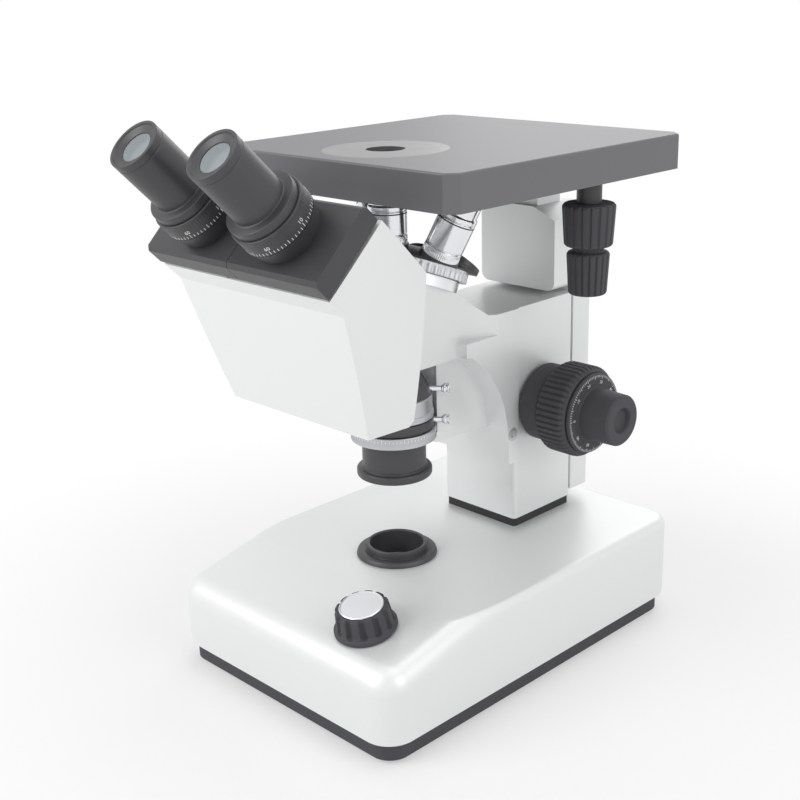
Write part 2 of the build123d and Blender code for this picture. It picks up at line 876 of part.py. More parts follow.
with BuildPart() as arm_casting:
    with BuildSketch(Plane.XY.offset(arm_bottom)):
        with BuildLine():
            Polyline(
                (0, head_back_y),
                (arm_half_width, head_back_y),
                (arm_half_width, arm_blend_y),
            )
            RadiusArc(
                (arm_half_width, arm_blend_y),
                (cheek_half_width, arm_blend_end_y),
                (arm_blend_end_y - arm_blend_y) * 1.8,
            )
            Polyline(
                (cheek_half_width, arm_blend_end_y),
                (cheek_half_width, arm_rear),
                (0, arm_rear),
                (0, head_back_y),
            )
        make_face()
        mirror(about=Plane.YZ)
    extrude(amount=seat_height(head_back_y) + 1 - arm_bottom)
    with BuildSketch(side_plane):
        Polygon(
            (head_back_y, arm_bottom),
            (head_back_y, seat_height(head_back_y)),
            (seat_back_y, seat_height(seat_back_y)),
            (seat_rear_end_y, pillar_top),
            (arm_rear, pillar_top),
            (arm_rear, arm_bottom),
            align=None,
        )
    extrude(amount=cheek_half_width, both=True, mode=Mode.INTERSECT)
    with BuildSketch(side_plane):
        with BuildLine():
            cheek_nose_bottom = cheek_top - cheek_nose_height
            Polyline(
                (arm_rear, cheek_bottom),
                (arm_rear, cheek_top),
                (cheek_nose_y, cheek_top),
                (cheek_nose_y, cheek_nose_bottom),
                (cheek_arc_start_y, cheek_nose_bottom - cheek_arc_drop),
            )
            Spline(
                (cheek_arc_start_y, cheek_nose_bottom - cheek_arc_drop),
                (cheek_arc_middle_y, cheek_arc_middle_z),
                (cheek_foot_y, cheek_bottom + 2),
                tangents=[(0.75, -0.66), (0.03, -1)],
            )
            Polyline(
                (cheek_foot_y, cheek_bottom + 2),
                (cheek_foot_y, cheek_bottom),
                (arm_rear, cheek_bottom),
            )
        make_face()
    extrude(amount=cheek_half_width, both=True)
    with BuildSketch(side_plane):
        Polygon(
            (web_front, web_bottom + 4),
            (web_front + 8, web_bottom),
            (cheek_foot_y, web_bottom - 2),
            (cheek_foot_y, arm_bottom + 2),
            (web_front, arm_bottom + 2),
            align=None,
        )
    extrude(amount=web_half_width, both=True)
    with BuildSketch(axis_plane.offset(illuminator_bottom)):
        Circle(illuminator_radius + thread_seat_gap)
    extrude(amount=arm_bottom - illuminator_bottom, mode=Mode.SUBTRACT)
    with BuildSketch(axis_plane.offset(field_ring_bottom - running_gap)):
        Circle(field_ring_radius + 1)
    extrude(amount=arm_bottom - field_ring_bottom + running_gap, mode=Mode.SUBTRACT)
    with BuildSketch(Plane.XY.offset(cheek_bottom)):
        with Locations((0, pillar_front + pillar_depth / 2)):
            Rectangle(pillar_width, pillar_depth)
    extrude(amount=pillar_top - cheek_bottom, mode=Mode.SUBTRACT)
    with BuildSketch(axis_plane.offset(arm_bottom)):
        Circle(neck_radius)
    extrude(amount=12, mode=Mode.SUBTRACT)
    with BuildSketch(axis_plane.offset(arm_bottom)):
        Circle(beam_bore)
    extrude(amount=80, mode=Mode.SUBTRACT)
    with BuildSketch(Plane.XZ.offset(-arm_chamber_rear_y)):
        with Locations((0, beam_height)):
            Rectangle(2 * arm_chamber_half_width, 2 * arm_chamber_half_width)
    extrude(amount=arm_chamber_rear_y - head_back_y, mode=Mode.SUBTRACT)
    with BuildSketch(turret_plane.offset(seat_distance)):
        Circle(axle_radius)
    extrude(amount=-8, mode=Mode.SUBTRACT)
    for side in (-1, 1):
        with BuildSketch(Plane.YZ.offset(side * cheek_half_width)):
            with Locations((arm_screw_y, arm_screw_z)):
                Circle(arm_screw_radius)
        extrude(amount=-side * (cheek_half_width - pillar_half_width), mode=Mode.SUBTRACT)
arm_casting.part.label = "arm_casting"
export_step(arm_casting.part, "parts/arm_casting.step")

with BuildPart() as arm_screws:
    for side in (-1, 1):
        with BuildSketch(Plane.YZ.offset(side * pillar_half_width)):
            with Locations((arm_screw_y, arm_screw_z)):
                Circle(arm_screw_radius)
        extrude(amount=side * (cheek_half_width - pillar_half_width))
        with BuildSketch(Plane.YZ.offset(side * cheek_half_width)):
            with Locations((arm_screw_y, arm_screw_z)):
                RegularPolygon(arm_screw_radius * 0.5, 6)
        extrude(amount=-side * 0.8, mode=Mode.SUBTRACT)
arm_screws.part.label = "arm_screws"
export_step(arm_screws.part, "parts/arm_screws.step")

# Illuminator under the arm
with BuildPart() as illuminator_tube:
    with BuildSketch(side_plane):
        with BuildLine():
            Polyline(
                (optical_y + illuminator_bore, illuminator_bottom),
                (optical_y + foot_flange_radius, illuminator_bottom),
                (optical_y + foot_flange_radius, illuminator_bottom + foot_flange_height),
                (optical_y + illuminator_radius, illuminator_bottom + foot_flange_height),
                (optical_y + illuminator_radius, field_ring_bottom - running_gap),
                (optical_y + ring_carrier_radius, field_ring_bottom - running_gap),
                (optical_y + ring_carrier_radius, groove_bottom + running_gap),
                (optical_y + groove_radius, groove_bottom + running_gap),
                (optical_y + groove_radius, aperture_ring_bottom - running_gap),
                (optical_y + ring_carrier_radius, aperture_ring_bottom - running_gap),
                (optical_y + ring_carrier_radius, cone_bottom + running_gap),
                (optical_y + aperture_ring_radius - 0.6, cone_bottom + running_gap),
                (optical_y + illuminator_radius, cone_bottom + 8),
                (optical_y + cone_top_radius, cone_top),
                (optical_y + neck_radius - thread_seat_gap, cone_top),
                (optical_y + neck_radius - thread_seat_gap, arm_bottom + 10),
                (optical_y + illuminator_bore - 4, arm_bottom + 10),
                (optical_y + illuminator_bore - 4, cone_top - 2),
                (optical_y + illuminator_bore, cone_bottom),
                close=True,
            )
        make_face()
    revolve(axis=Axis((0, optical_y, 0), (0, 0, 1)))
    for height in (field_screw_z, aperture_screw_z):
        for angle in (screw_angle, 180 - screw_angle):
            with BuildSketch(screw_plane(height, angle).offset(illuminator_bore - 2)):
                Circle(screw_radius + shaft_gap)
            extrude(amount=20, mode=Mode.SUBTRACT)
illuminator_tube.part.label = "illuminator_tube"
export_step(illuminator_tube.part, "parts/illuminator_tube.step")

with BuildPart() as illuminator_lens:
    with BuildSketch(axis_plane.offset(illuminator_bottom + 1)):
        Circle(illuminator_bore)
    extrude(amount=illuminator_lens_thickness)
    lens_rim = illuminator_lens.edges().filter_by(GeomType.CIRCLE).sort_by(Axis.Z)[0]
    chamfer(lens_rim, length=0.5)
illuminator_lens.part.label = "illuminator_lens"
export_step(illuminator_lens.part, "parts/illuminator_lens.step")

ring_bore = ring_carrier_radius + shaft_gap

with BuildPart() as field_ring:
    with BuildSketch(axis_plane.offset(field_ring_bottom)):
        Circle(field_ring_radius)
        Circle(ring_bore, mode=Mode.SUBTRACT)
    extrude(amount=field_ring_height)
    with BuildSketch(axis_plane.offset(field_ring_bottom)):
        with PolarLocations(field_ring_radius + 0.35, field_ring_flutes):
            Circle(0.8)
    extrude(amount=field_ring_height * 0.55, mode=Mode.SUBTRACT)
field_ring.part.label = "field_ring"
export_step(field_ring.part, "parts/field_ring.step")

with BuildPart() as aperture_ring:
    with BuildSketch(axis_plane.offset(aperture_ring_bottom)):
        Circle(aperture_ring_radius)
        Circle(ring_bore, mode=Mode.SUBTRACT)
    extrude(amount=aperture_ring_height)
    outer = aperture_ring.edges().filter_by(GeomType.CIRCLE).filter_by(
        lambda edge: edge.radius > ring_bore + 1
    )
    chamfer(outer, length=0.8)
aperture_ring.part.label = "aperture_ring"
export_step(aperture_ring.part, "parts/aperture_ring.step")

for kind, height in (("field", field_screw_z), ("aperture", aperture_screw_z)):
    for side, angle in (("right", screw_angle), ("left", 180 - screw_angle)):
        plane = screw_plane(height, angle)
        with BuildPart() as centring_screw:
            with BuildSketch(plane.offset(illuminator_bore)):
                Circle(screw_radius)
            extrude(amount=screw_reach - illuminator_bore)
            with BuildSketch(plane.offset(screw_reach)):
                Circle(screw_head_radius)
            extrude(amount=screw_head_length)
            ends = centring_screw.edges().filter_by(GeomType.CIRCLE).filter_by(
                lambda edge: edge.radius > screw_radius + 0.1
            )
            chamfer(ends, length=0.5)
        centring_screw.part.label = f"{kind}_screw_{side}"
        export_step(centring_screw.part, f"parts/{kind}_screw_{side}.step")

# Nosepiece
dome_bottom = seat_distance + disc_height + running_gap
ring_top = dome_bottom + ring_height
dome_sphere = objective_seat - seat_boss_proud
dome_rim = math.sqrt(dome_sphere**2 - dome_radius**2)
axle_top = ring_top - 1.0
position_angles = [360 / turret_positions * index for index in range(turret_positions)]

with BuildPart() as nosepiece_base:
    with BuildSketch(turret_plane.offset(seat_distance)):
        Circle(disc_radius)
    extrude(amount=disc_height)
    with BuildSketch(turret_plane.offset(seat_distance - 8)):
        Circle(axle_radius - thread_seat_gap)
    extrude(amount=8)
    with BuildSketch(turret_plane.offset(seat_distance + disc_height)):
        Circle(axle_radius - shaft_gap)
    extrude(amount=axle_top - seat_distance - disc_height)
    with BuildSketch(axis_plane.offset(apex_z)):
        Circle(beam_bore)
    extrude(amount=objective_seat, mode=Mode.SUBTRACT)
nosepiece_base.part.label = "nosepiece_base"
export_step(nosepiece_base.part, "parts/nosepiece_base.step")

with BuildPart() as turret_ring:
    with BuildSketch(turret_plane.offset(dome_bottom)):
        Circle(ring_radius)
        with PolarLocations(ring_radius + ring_flute_depth * 0.3, ring_flutes):
            Circle(ring_flute_depth, mode=Mode.SUBTRACT)
        Circle(disc_radius, mode=Mode.SUBTRACT)
    extrude(amount=ring_height - ring_lip)
    with BuildSketch(turret_plane.offset(ring_top - ring_lip)):
        Circle(ring_radius)
        Circle(disc_radius, mode=Mode.SUBTRACT)
    extrude(amount=ring_lip)
turret_ring.part.label = "turret_ring"
export_step(turret_ring.part, "parts/turret_ring.step")

with BuildPart() as seat_bores:
    for angle in position_angles:
        with BuildSketch(objective_plane(angle, objective_seat - objective_thread_length)):
            Circle(objective_thread_radius)
        extrude(amount=objective_thread_length + 2)
        with BuildSketch(objective_plane(angle, seat_distance)):
            Circle(beam_bore)
        extrude(amount=objective_seat - seat_distance)

with BuildPart() as seat_bosses:
    for angle in position_angles:
        with BuildSketch(objective_plane(angle, objective_seat - seat_boss_height)):
            Circle(seat_boss_radius)
        extrude(amount=seat_boss_height)
    with BuildSketch(turret_plane.offset(seat_distance)):
        Circle(2 * ring_radius)
    extrude(amount=ring_top - seat_distance, mode=Mode.SUBTRACT)

dome_profile_plane = Plane(
    origin=turret_plane.origin,
    x_dir=Vector(1, 0, 0).rotate(Axis(turret_plane.origin, turret_plane.z_dir), 18),
    z_dir=Vector(0, 1, 0).rotate(Axis.X, -turret_tilt).rotate(
        Axis(turret_plane.origin, turret_plane.z_dir), 18
    ) * -1,
)

with BuildPart() as turret_dome:
    with BuildSketch(dome_profile_plane):
        with BuildLine():
            Polyline(
                (0, dome_sphere),
                (0, dome_bottom),
                (disc_radius, dome_bottom),
                (disc_radius, ring_top),
                (dome_radius, ring_top),
                (dome_radius, dome_rim),
            )
            ThreePointArc(
                (dome_radius, dome_rim),
                (dome_radius / 2, math.sqrt(dome_sphere**2 - dome_radius**2 / 4)),
                (0, dome_sphere),
            )
        make_face()
    revolve(axis=Axis(turret_plane.origin, turret_plane.z_dir))
    add(seat_bosses.part)
    add(seat_bores.part, mode=Mode.SUBTRACT)
    with BuildSketch(turret_plane.offset(dome_bottom - 1)):
        Circle(axle_radius)
    extrude(amount=axle_top - dome_bottom + 1 + running_gap, mode=Mode.SUBTRACT)
turret_dome.part.label = "turret_dome"
export_step(turret_dome.part, "parts/turret_dome.step")

objective_forms = (
    ("objective_low", position_angles[0], 0.50),
    ("objective_mid", position_angles[1], 0.60),
    ("objective_high", position_angles[-1], 0.68),
)
for name, angle, body_share in objective_forms:
    seat = objective_plane(angle, 0)
    body_top = objective_seat + objective_length * body_share
    shoulder_top = objective_seat + objective_length * 0.86
    tip_top = objective_seat + objective_length
    with BuildPart() as objective:
        with BuildSketch(Plane(origin=seat.origin, x_dir=seat.x_dir, z_dir=-seat.y_dir)):
            with BuildLine():
                Polyline(
                    (objective_bore, objective_seat - objective_thread_length),
                    (objective_thread_radius, objective_seat - objective_thread_length),
                    (objective_thread_radius, objective_seat),
                    (objective_radius, objective_seat),
                    (objective_radius, objective_seat + 5.0),
                    (objective_radius - 0.5, objective_seat + 5.4),
                    (objective_radius, objective_seat + 5.8),
                    (objective_radius, body_top),
                    (objective_radius - 0.9, body_top + 0.9),
                    (objective_radius - 0.9, shoulder_top - 2.0),
                    (objective_tip_radius, shoulder_top + 1.0),
                    (objective_tip_radius, tip_top - 0.8),
                    (objective_tip_radius - 0.8, tip_top),
                    (objective_bore, tip_top),
                    close=True,
                )
            make_face()
        revolve(axis=Axis(seat.origin, seat.z_dir))
        with BuildSketch(seat.offset(tip_top - 2.6)):
            Circle(objective_bore)
        extrude(amount=2.0)
    objective.part.label = name
    export_step(objective.part, f"parts/{name}.step")

with BuildPart() as turret_plugs:
    for angle in position_angles[2:-1]:
        with BuildSketch(objective_plane(angle, objective_seat - objective_thread_length)):
            Circle(objective_thread_radius)
        extrude(amount=objective_thread_length)
        with BuildSketch(objective_plane(angle, objective_seat)):
            Circle(plug_radius)
        extrude(amount=plug_height, taper=10)
turret_plugs.part.label = "turret_plugs"
export_step(turret_plugs.part, "parts/turret_plugs.step")

# Beam path prisms in the arm and the head
beam_turn_y = head_seat_y + head_seat_z - beam_height
splitter_bottom = -chamber_depth

with BuildPart() as relay_prisms:
    with BuildSketch(Plane.XY.offset(beam_height - arm_chamber_half_width)):
        with Locations((0, optical_y)):
            Rectangle(prism_size, prism_size)
    extrude(amount=prism_size)
    with BuildSketch(Plane.YZ.offset(-prism_size / 2)):
        with Locations((beam_turn_y, beam_height)):
            Polygon(
                (prism_size * 0.36, -arm_chamber_half_width),
                (prism_size * 0.36, prism_size * 0.5),
                (-prism_size * 0.28, prism_size * 0.5),
                (-prism_size * 0.28, -prism_size * 0.1),
                (-prism_size * 0.1, -arm_chamber_half_width),
                align=None,
            )
    extrude(amount=prism_size)
    with BuildSketch(head_plane.offset(splitter_bottom)):
        Rectangle(splitter_size, splitter_size)
    extrude(amount=splitter_thickness)
relay_prisms.part.label = "relay_prisms"
export_step(relay_prisms.part, "parts/relay_prisms.step")

# Head housing
with BuildPart() as head_housing:
    lip_front = head_plane.from_local_coords((0, -plate_front_reach, 0))
    lip_rear = head_plane.from_local_coords((0, plate_rear_reach + 1.2, 0))
    rear_drop = lip_rear.Y - head_back_y
    with BuildSketch(side_plane):
        with BuildLine():
            Polyline(
                (lip_front.Y, lip_front.Z),
                (lip_rear.Y, lip_rear.Z),
                (head_back_y, lip_rear.Z + rear_drop),
                (head_back_y, head_back_bottom_z + 3),
                (head_back_y - 3, head_back_bottom_z),
                (head_front_bottom_y, head_bottom_z),
                (head_front_top_y, head_front_top_z),
                close=True,
            )
        make_face()
    extrude(amount=head_top_half_width + 1, both=True)
    with BuildSketch(Plane.XZ.offset(-head_back_y)):
        with BuildLine():
            Line(
                (-head_bottom_half_width, head_bottom_z - 2),
                (head_bottom_half_width, head_bottom_z - 2),
            )
            ThreePointArc(
                (head_bottom_half_width, head_bottom_z - 2),
                (head_middle_half_width, head_middle_z),
                (head_top_half_width, lip_rear.Z),
            )
            Line((head_top_half_width, lip_rear.Z), (-head_top_half_width, lip_rear.Z))
            ThreePointArc(
                (-head_top_half_width, lip_rear.Z),
                (-head_middle_half_width, head_middle_z),
                (-head_bottom_half_width, head_bottom_z - 2),
            )
        make_face()
    extrude(amount=base_depth, both=True, mode=Mode.INTERSECT)
    with BuildSketch(head_plane):
        Rectangle(2 * chamber_half_width, chamber_length)
    extrude(amount=-chamber_depth, mode=Mode.SUBTRACT)
    with BuildSketch(head_plane):
        Circle(tunnel_radius)
    extrude(amount=-chamber_depth - 50, mode=Mode.SUBTRACT)
head_housing.part.label = "head_housing"
export_step(head_housing.part, "parts/head_housing.step")

plate_pitch = math.pi * 2 * plate_pinion_radius / plate_pinion_teeth
rack_start = -5 * plate_pitch
rack_teeth_count = 13
pinion_top = -0.5

with BuildPart() as slide_guide:
    with BuildSketch(head_plane):
        with Locations((0, (plate_rear_reach - plate_front_reach) / 2)):
            Rectangle(guide_width, plate_front_reach + plate_rear_reach - 2)
        for side in (-1, 1):
            with Locations((side * (guide_window_half_width + 8) / 2, 0)):
                Rectangle(guide_window_half_width - 8, guide_window_length, mode=Mode.SUBTRACT)
        Circle(1.5 + shaft_gap, mode=Mode.SUBTRACT)
    extrude(amount=guide_thickness)
slide_guide.part.label = "slide_guide"
export_step(slide_guide.part, "parts/slide_guide.step")

with BuildPart() as spacing_pinion:
    with BuildSketch(head_plane.offset(pinion_top - plate_pinion_height)):
        pinion_outline(plate_pinion_radius, plate_pinion_teeth)
    extrude(amount=plate_pinion_height)
    with BuildSketch(head_plane.offset(pinion_top)):
        Circle(1.5)
    extrude(amount=guide_thickness - pinion_top)
spacing_pinion.part.label = "spacing_pinion"
export_step(spacing_pinion.part, "parts/spacing_pinion.step")

for name, side in (("left", -1), ("right", 1)):
    outer = plate_half_width
    middle_s = (plate_rear_reach - plate_front_reach) / 2
    length_s = plate_front_reach + plate_rear_reach
    eye = side * eye_x
    rack_plane = Plane(
        origin=head_plane.from_local_coords(
            (0, -side * plate_pinion_radius, pinion_top - plate_pinion_height)
        ),
        x_dir=(side, 0, 0),
        z_dir=head_plane.z_dir,
    )
    with BuildPart() as slide_plate:
        with BuildSketch(head_plane.offset(plate_gap)):
            with Locations((side * (outer + seam_gap) / 2, middle_s)):
                Rectangle(outer - seam_gap, length_s)
        extrude(amount=plate_thickness)
        top_face = slide_plate.faces().sort_by(Axis(head_plane.origin, head_plane.z_dir))[-1]
        ends = top_face.edges().sort_by(Axis(head_plane.origin, head_plane.y_dir))
        chamfer([ends[0], ends[-1]], length=plate_bevel)
        with BuildSketch(head_plane.offset(boss_n)):
            with Locations((eye, 0)):
                Circle(boss_radius)
        extrude(amount=boss_height, taper=-15)
        with BuildSketch(head_plane.offset(focus_ring_n)):
            with Locations((eye, 0)):
                Circle(tube_radius)
        extrude(amount=focus_ring_height)
        with BuildSketch(head_plane.offset(plate_gap)):
            with Locations((eye, 0)):
                Circle(inner_boss_radius)
        extrude(amount=-inner_boss_length)
        with BuildSketch(head_plane.offset(plate_gap - inner_boss_length)):
            with Locations((eye, 0)):
                Circle(tube_bore)
        extrude(amount=inner_boss_length + flange_n, mode=Mode.SUBTRACT)
        with BuildSketch(rack_plane):
            rack_outline(
                plate_pinion_radius, plate_pinion_teeth, rack_start, rack_teeth_count,
                plate_rack_width,
            )
        extrude(amount=plate_pinion_height)
        with BuildSketch(rack_plane):
            with Locations(((plate_rack_inner_end + plate_rack_web) / 2, -plate_rack_width / 2 - 0.5)):
                Rectangle(plate_rack_web - plate_rack_inner_end, plate_rack_width - 1)
        extrude(amount=plate_pinion_height - pinion_top + plate_gap)
    slide_plate.part.label = f"{name}_slide_plate"
    export_step(slide_plate.part, f"parts/{name}_slide_plate.step")

    with BuildPart() as plate_prism:
        with BuildSketch(head_plane.offset(plate_gap - inner_boss_length)):
            with Locations((eye, 0)):
                Rectangle(plate_prism_width, plate_prism_length)
        extrude(amount=-plate_prism_thickness)
    plate_prism.part.label = f"{name}_prism"
    export_step(plate_prism.part, f"parts/{name}_prism.step")

    with BuildPart() as focus_ring:
        with BuildSketch(head_plane.offset(focus_ring_n + shaft_gap)):
            with Locations((eye, 0)):
                Circle(focus_ring_radius)
                Circle(tube_radius + shaft_gap, mode=Mode.SUBTRACT)
        extrude(amount=focus_ring_height - 2 * shaft_gap)
    focus_ring.part.label = f"{name}_focus_ring"
    export_step(focus_ring.part, f"parts/{name}_focus_ring.step")

    with BuildPart() as eyepiece:
        with BuildSketch(head_plane.offset(flange_n + shaft_gap)):
            with Locations((eye, 0)):
                Circle(tube_flange_radius)
        extrude(amount=tube_flange_height - shaft_gap)
        with BuildSketch(head_plane.offset(eyepiece_n)):
            with Locations((eye, 0)):
                Circle(eyepiece_radius)
        extrude(amount=eyepiece_length)
        with BuildSketch(head_plane.offset(flange_n - focus_ring_height)):
            with Locations((eye, 0)):
                Circle(tube_bore - shaft_gap)
        extrude(amount=focus_ring_height + 1)
        with BuildSketch(head_plane.offset(flange_n - focus_ring_height)):
            with Locations((eye, 0)):
                Circle(eyepiece_bore)
        extrude(amount=eye_end_n - flange_n + focus_ring_height, mode=Mode.SUBTRACT)
    eyepiece.part.label = f"{name}_eyepiece"
    export_step(eyepiece.part, f"parts/{name}_eyepiece.step")

    with BuildPart() as eye_lenses:
        with BuildSketch(head_plane.offset(eye_end_n - 3.0 - eye_lens_thickness)):
            with Locations((eye, 0)):
                Circle(eyepiece_bore)
        extrude(amount=eye_lens_thickness)
        with BuildSketch(head_plane.offset(flange_n)):
            with Locations((eye, 0)):
                Circle(eyepiece_bore)
        extrude(amount=eye_lens_thickness)
    eye_lenses.part.label = f"{name}_eye_lenses"
    export_step(eye_lenses.part, f"parts/{name}_eye_lenses.step")

# Focus drive
with BuildPart() as focus_collars:
    for side in (-1, 1):
        with BuildSketch(shaft_plane.offset(side * pillar_half_width)):
            Circle(collar_radius - 4)
            Circle(coarse_shaft_radius + shaft_gap, mode=Mode.SUBTRACT)
        extrude(amount=side * 2.0)
        with BuildSketch(shaft_plane.offset(side * (pillar_half_width + 2.0))):
            Circle(collar_radius)
            Circle(coarse_shaft_radius + shaft_gap, mode=Mode.SUBTRACT)
        extrude(amount=side * (collar_outer_x - pillar_half_width - 2.0))
focus_collars.part.label = "focus_collars"
export_step(focus_collars.part, "parts/focus_collars.step")

with BuildPart() as coarse_drive:
    with BuildSketch(shaft_plane.offset(-coarse_knob_outer_x + 2)):
        Circle(coarse_shaft_radius)
    extrude(amount=2 * coarse_knob_outer_x - 4)
    with BuildSketch(shaft_plane.offset(-coarse_pinion_width / 2)):
        pinion_outline(coarse_pinion_radius, coarse_pinion_teeth)
    extrude(amount=coarse_pinion_width)
    with BuildSketch(shaft_plane.offset(-coarse_knob_outer_x)):
        Circle(fine_shaft_radius + shaft_gap)
    extrude(amount=2 * coarse_knob_outer_x, mode=Mode.SUBTRACT)
coarse_drive.part.label = "coarse_drive"
export_step(coarse_drive.part, "parts/coarse_drive.step")

with BuildPart() as coarse_knobs:
    for side in (-1, 1):
        with BuildSketch(shaft_plane.offset(side * coarse_knob_inner_x)):
            Circle(coarse_knob_radius)
            with PolarLocations(coarse_knob_radius + 0.3, coarse_ribs):
                Circle(rib_depth, mode=Mode.SUBTRACT)
        extrude(amount=side * (coarse_knob_outer_x - coarse_knob_inner_x))
        with BuildSketch(shaft_plane.offset(side * coarse_knob_inner_x)):
            Circle(coarse_shaft_radius)
        extrude(amount=side * (coarse_knob_outer_x - coarse_knob_inner_x - 2), mode=Mode.SUBTRACT)
        with BuildSketch(shaft_plane.offset(side * coarse_knob_inner_x)):
            Circle(fine_shaft_radius + shaft_gap)
        extrude(amount=side * (coarse_knob_outer_x - coarse_knob_inner_x), mode=Mode.SUBTRACT)
coarse_knobs.part.label = "coarse_knobs"
export_step(coarse_knobs.part, "parts/coarse_knobs.step")

with BuildPart() as fine_knobs:
    with BuildSketch(shaft_plane.offset(-fine_disc_inner_x)):
        Circle(fine_shaft_radius)
    extrude(amount=2 * fine_disc_inner_x)
    for side in (-1, 1):
        with BuildSketch(shaft_plane.offset(side * fine_disc_inner_x)):
            Circle(fine_disc_radius)
        extrude(amount=side * (fine_disc_outer_x - fine_disc_inner_x))
        with BuildSketch(shaft_plane.offset(side * fine_disc_outer_x)):
            Circle(fine_knob_radius)
        extrude(amount=side * (fine_knob_outer_x - fine_disc_outer_x), taper=1.5)
        with BuildSketch(shaft_plane.offset(side * fine_knob_outer_x)):
            Circle(dimple_radius)
        extrude(amount=-side * 1.2, mode=Mode.SUBTRACT)
fine_knobs.part.label = "fine_knobs"
export_step(fine_knobs.part, "parts/fine_knobs.step")

coarse_pitch = math.pi * 2 * coarse_pinion_radius / coarse_pinion_teeth
focus_rack_teeth = 26
channel_floor = pillar_rear + rail_thickness + running_gap

with BuildPart() as focus_rack:
    with BuildSketch(
        Plane(origin=(-rack_width / 2, rack_pitch_y, shaft_z), x_dir=(0, 0, 1), z_dir=(1, 0, 0))
    ):
        rack_outline(
            coarse_pinion_radius, coarse_pinion_teeth, -focus_rack_teeth / 2 * coarse_pitch,
            focus_rack_teeth, rack_depth,
        )
    extrude(amount=rack_width)
    with BuildSketch(Plane.XY.offset(shoe_bottom)):
        with Locations((0, (rack_pitch_y + rack_depth + channel_floor) / 2)):
            Rectangle(rack_width, channel_floor - rack_pitch_y - rack_depth)
    extrude(amount=rack_shoe_height)
focus_rack.part.label = "focus_rack"
export_step(focus_rack.part, "parts/focus_rack.step")

roof_rise = (slide_half_width - neck_half_width) * math.tan(math.radians(bracket_roof_angle))

with BuildPart() as focus_slide:
    with BuildSketch(Plane.XY.offset(slide_bottom)):
        with Locations((0, (slide_front + slide_rear) / 2)):
            Rectangle(2 * slide_half_width, slide_rear - slide_front)
    extrude(amount=bracket_bottom - slide_bottom + 1)
    with BuildSketch(Plane.XZ.offset(-slide_rear)):
        with BuildLine():
            Polyline(
                (-slide_half_width, bracket_bottom),
                (slide_half_width, bracket_bottom),
                (slide_half_width, bracket_side_top),
                (neck_half_width, bracket_side_top + roof_rise),
                (-neck_half_width, bracket_side_top + roof_rise),
                (-slide_half_width, bracket_side_top),
                close=True,
            )
        make_face()
    extrude(amount=slide_rear - bracket_front)
    front_corners = focus_slide.edges().filter_by(Axis.Y).filter_by_position(
        Axis.Z, bracket_bottom - 0.1, bracket_bottom + 0.1
    )
    fillet(front_corners, radius=bracket_corner_radius)
    rear_corners = focus_slide.edges().filter_by(Axis.Z).filter_by_position(
        Axis.Y, slide_rear - 0.1, slide_rear + 0.1
    )
    fillet(rear_corners, radius=3)
    with BuildSketch(Plane.XY.offset(bracket_side_top)):
        with Locations((0, (neck_front + neck_rear) / 2)):
            Rectangle(2 * neck_half_width, neck_rear - neck_front)
    extrude(amount=stage_plate_z - bracket_side_top)
    with BuildSketch(Plane.XY.offset(slide_bottom)):
        Polygon(
            (-rail_root - running_gap, slide_front - 1),
            (rail_root + running_gap, slide_front - 1),
            (rail_root + running_gap, pillar_rear),
            (rail_tip + running_gap, channel_floor),
            (-rail_tip - running_gap, channel_floor),
            (-rail_root - running_gap, pillar_rear),
            align=None,
        )
    extrude(amount=rail_top + focus_down + 1 - slide_bottom, mode=Mode.SUBTRACT)
focus_slide.part.label = "focus_slide"
export_step(focus_slide.part, "parts/focus_slide.step")

# Stage
drive_pitch = math.pi * 2 * drive_pinion_radius / drive_pinion_teeth
cross_rack_start = -9 * drive_pitch
cross_rack_teeth = 13
carriage_top = carriage_z + carriage_thickness

with BuildPart() as stage_base_plate:
    with BuildSketch(Plane.XY.offset(stage_plate_z)):
        with Locations((0, (stage_plate_front + stage_plate_rear) / 2)):
            Rectangle(2 * stage_plate_half_width, stage_plate_rear - stage_plate_front)
    extrude(amount=stage_plate_thickness)
    with BuildSketch(Plane.XY.offset(stage_plate_z + stage_plate_thickness)):
        with Locations((0, cross_rail_front_y), (0, cross_rail_rear_y)):
            Rectangle(cross_rail_length, stage_rail_width)
    extrude(amount=carriage_z - stage_plate_z - stage_plate_thickness + 1.6)
    with BuildSketch(Plane(origin=(drive_x, drive_y - drive_pinion_radius, stage_plate_z))):
        rack_outline(
            drive_pinion_radius, drive_pinion_teeth, cross_rack_start, cross_rack_teeth, 3.4
        )
    extrude(amount=stage_plate_thickness - 0.4)
stage_base_plate.part.label = "stage_base_plate"
export_step(stage_base_plate.part, "parts/stage_base_plate.step")

sleeve_bore = drive_pinion_radius + 1.0

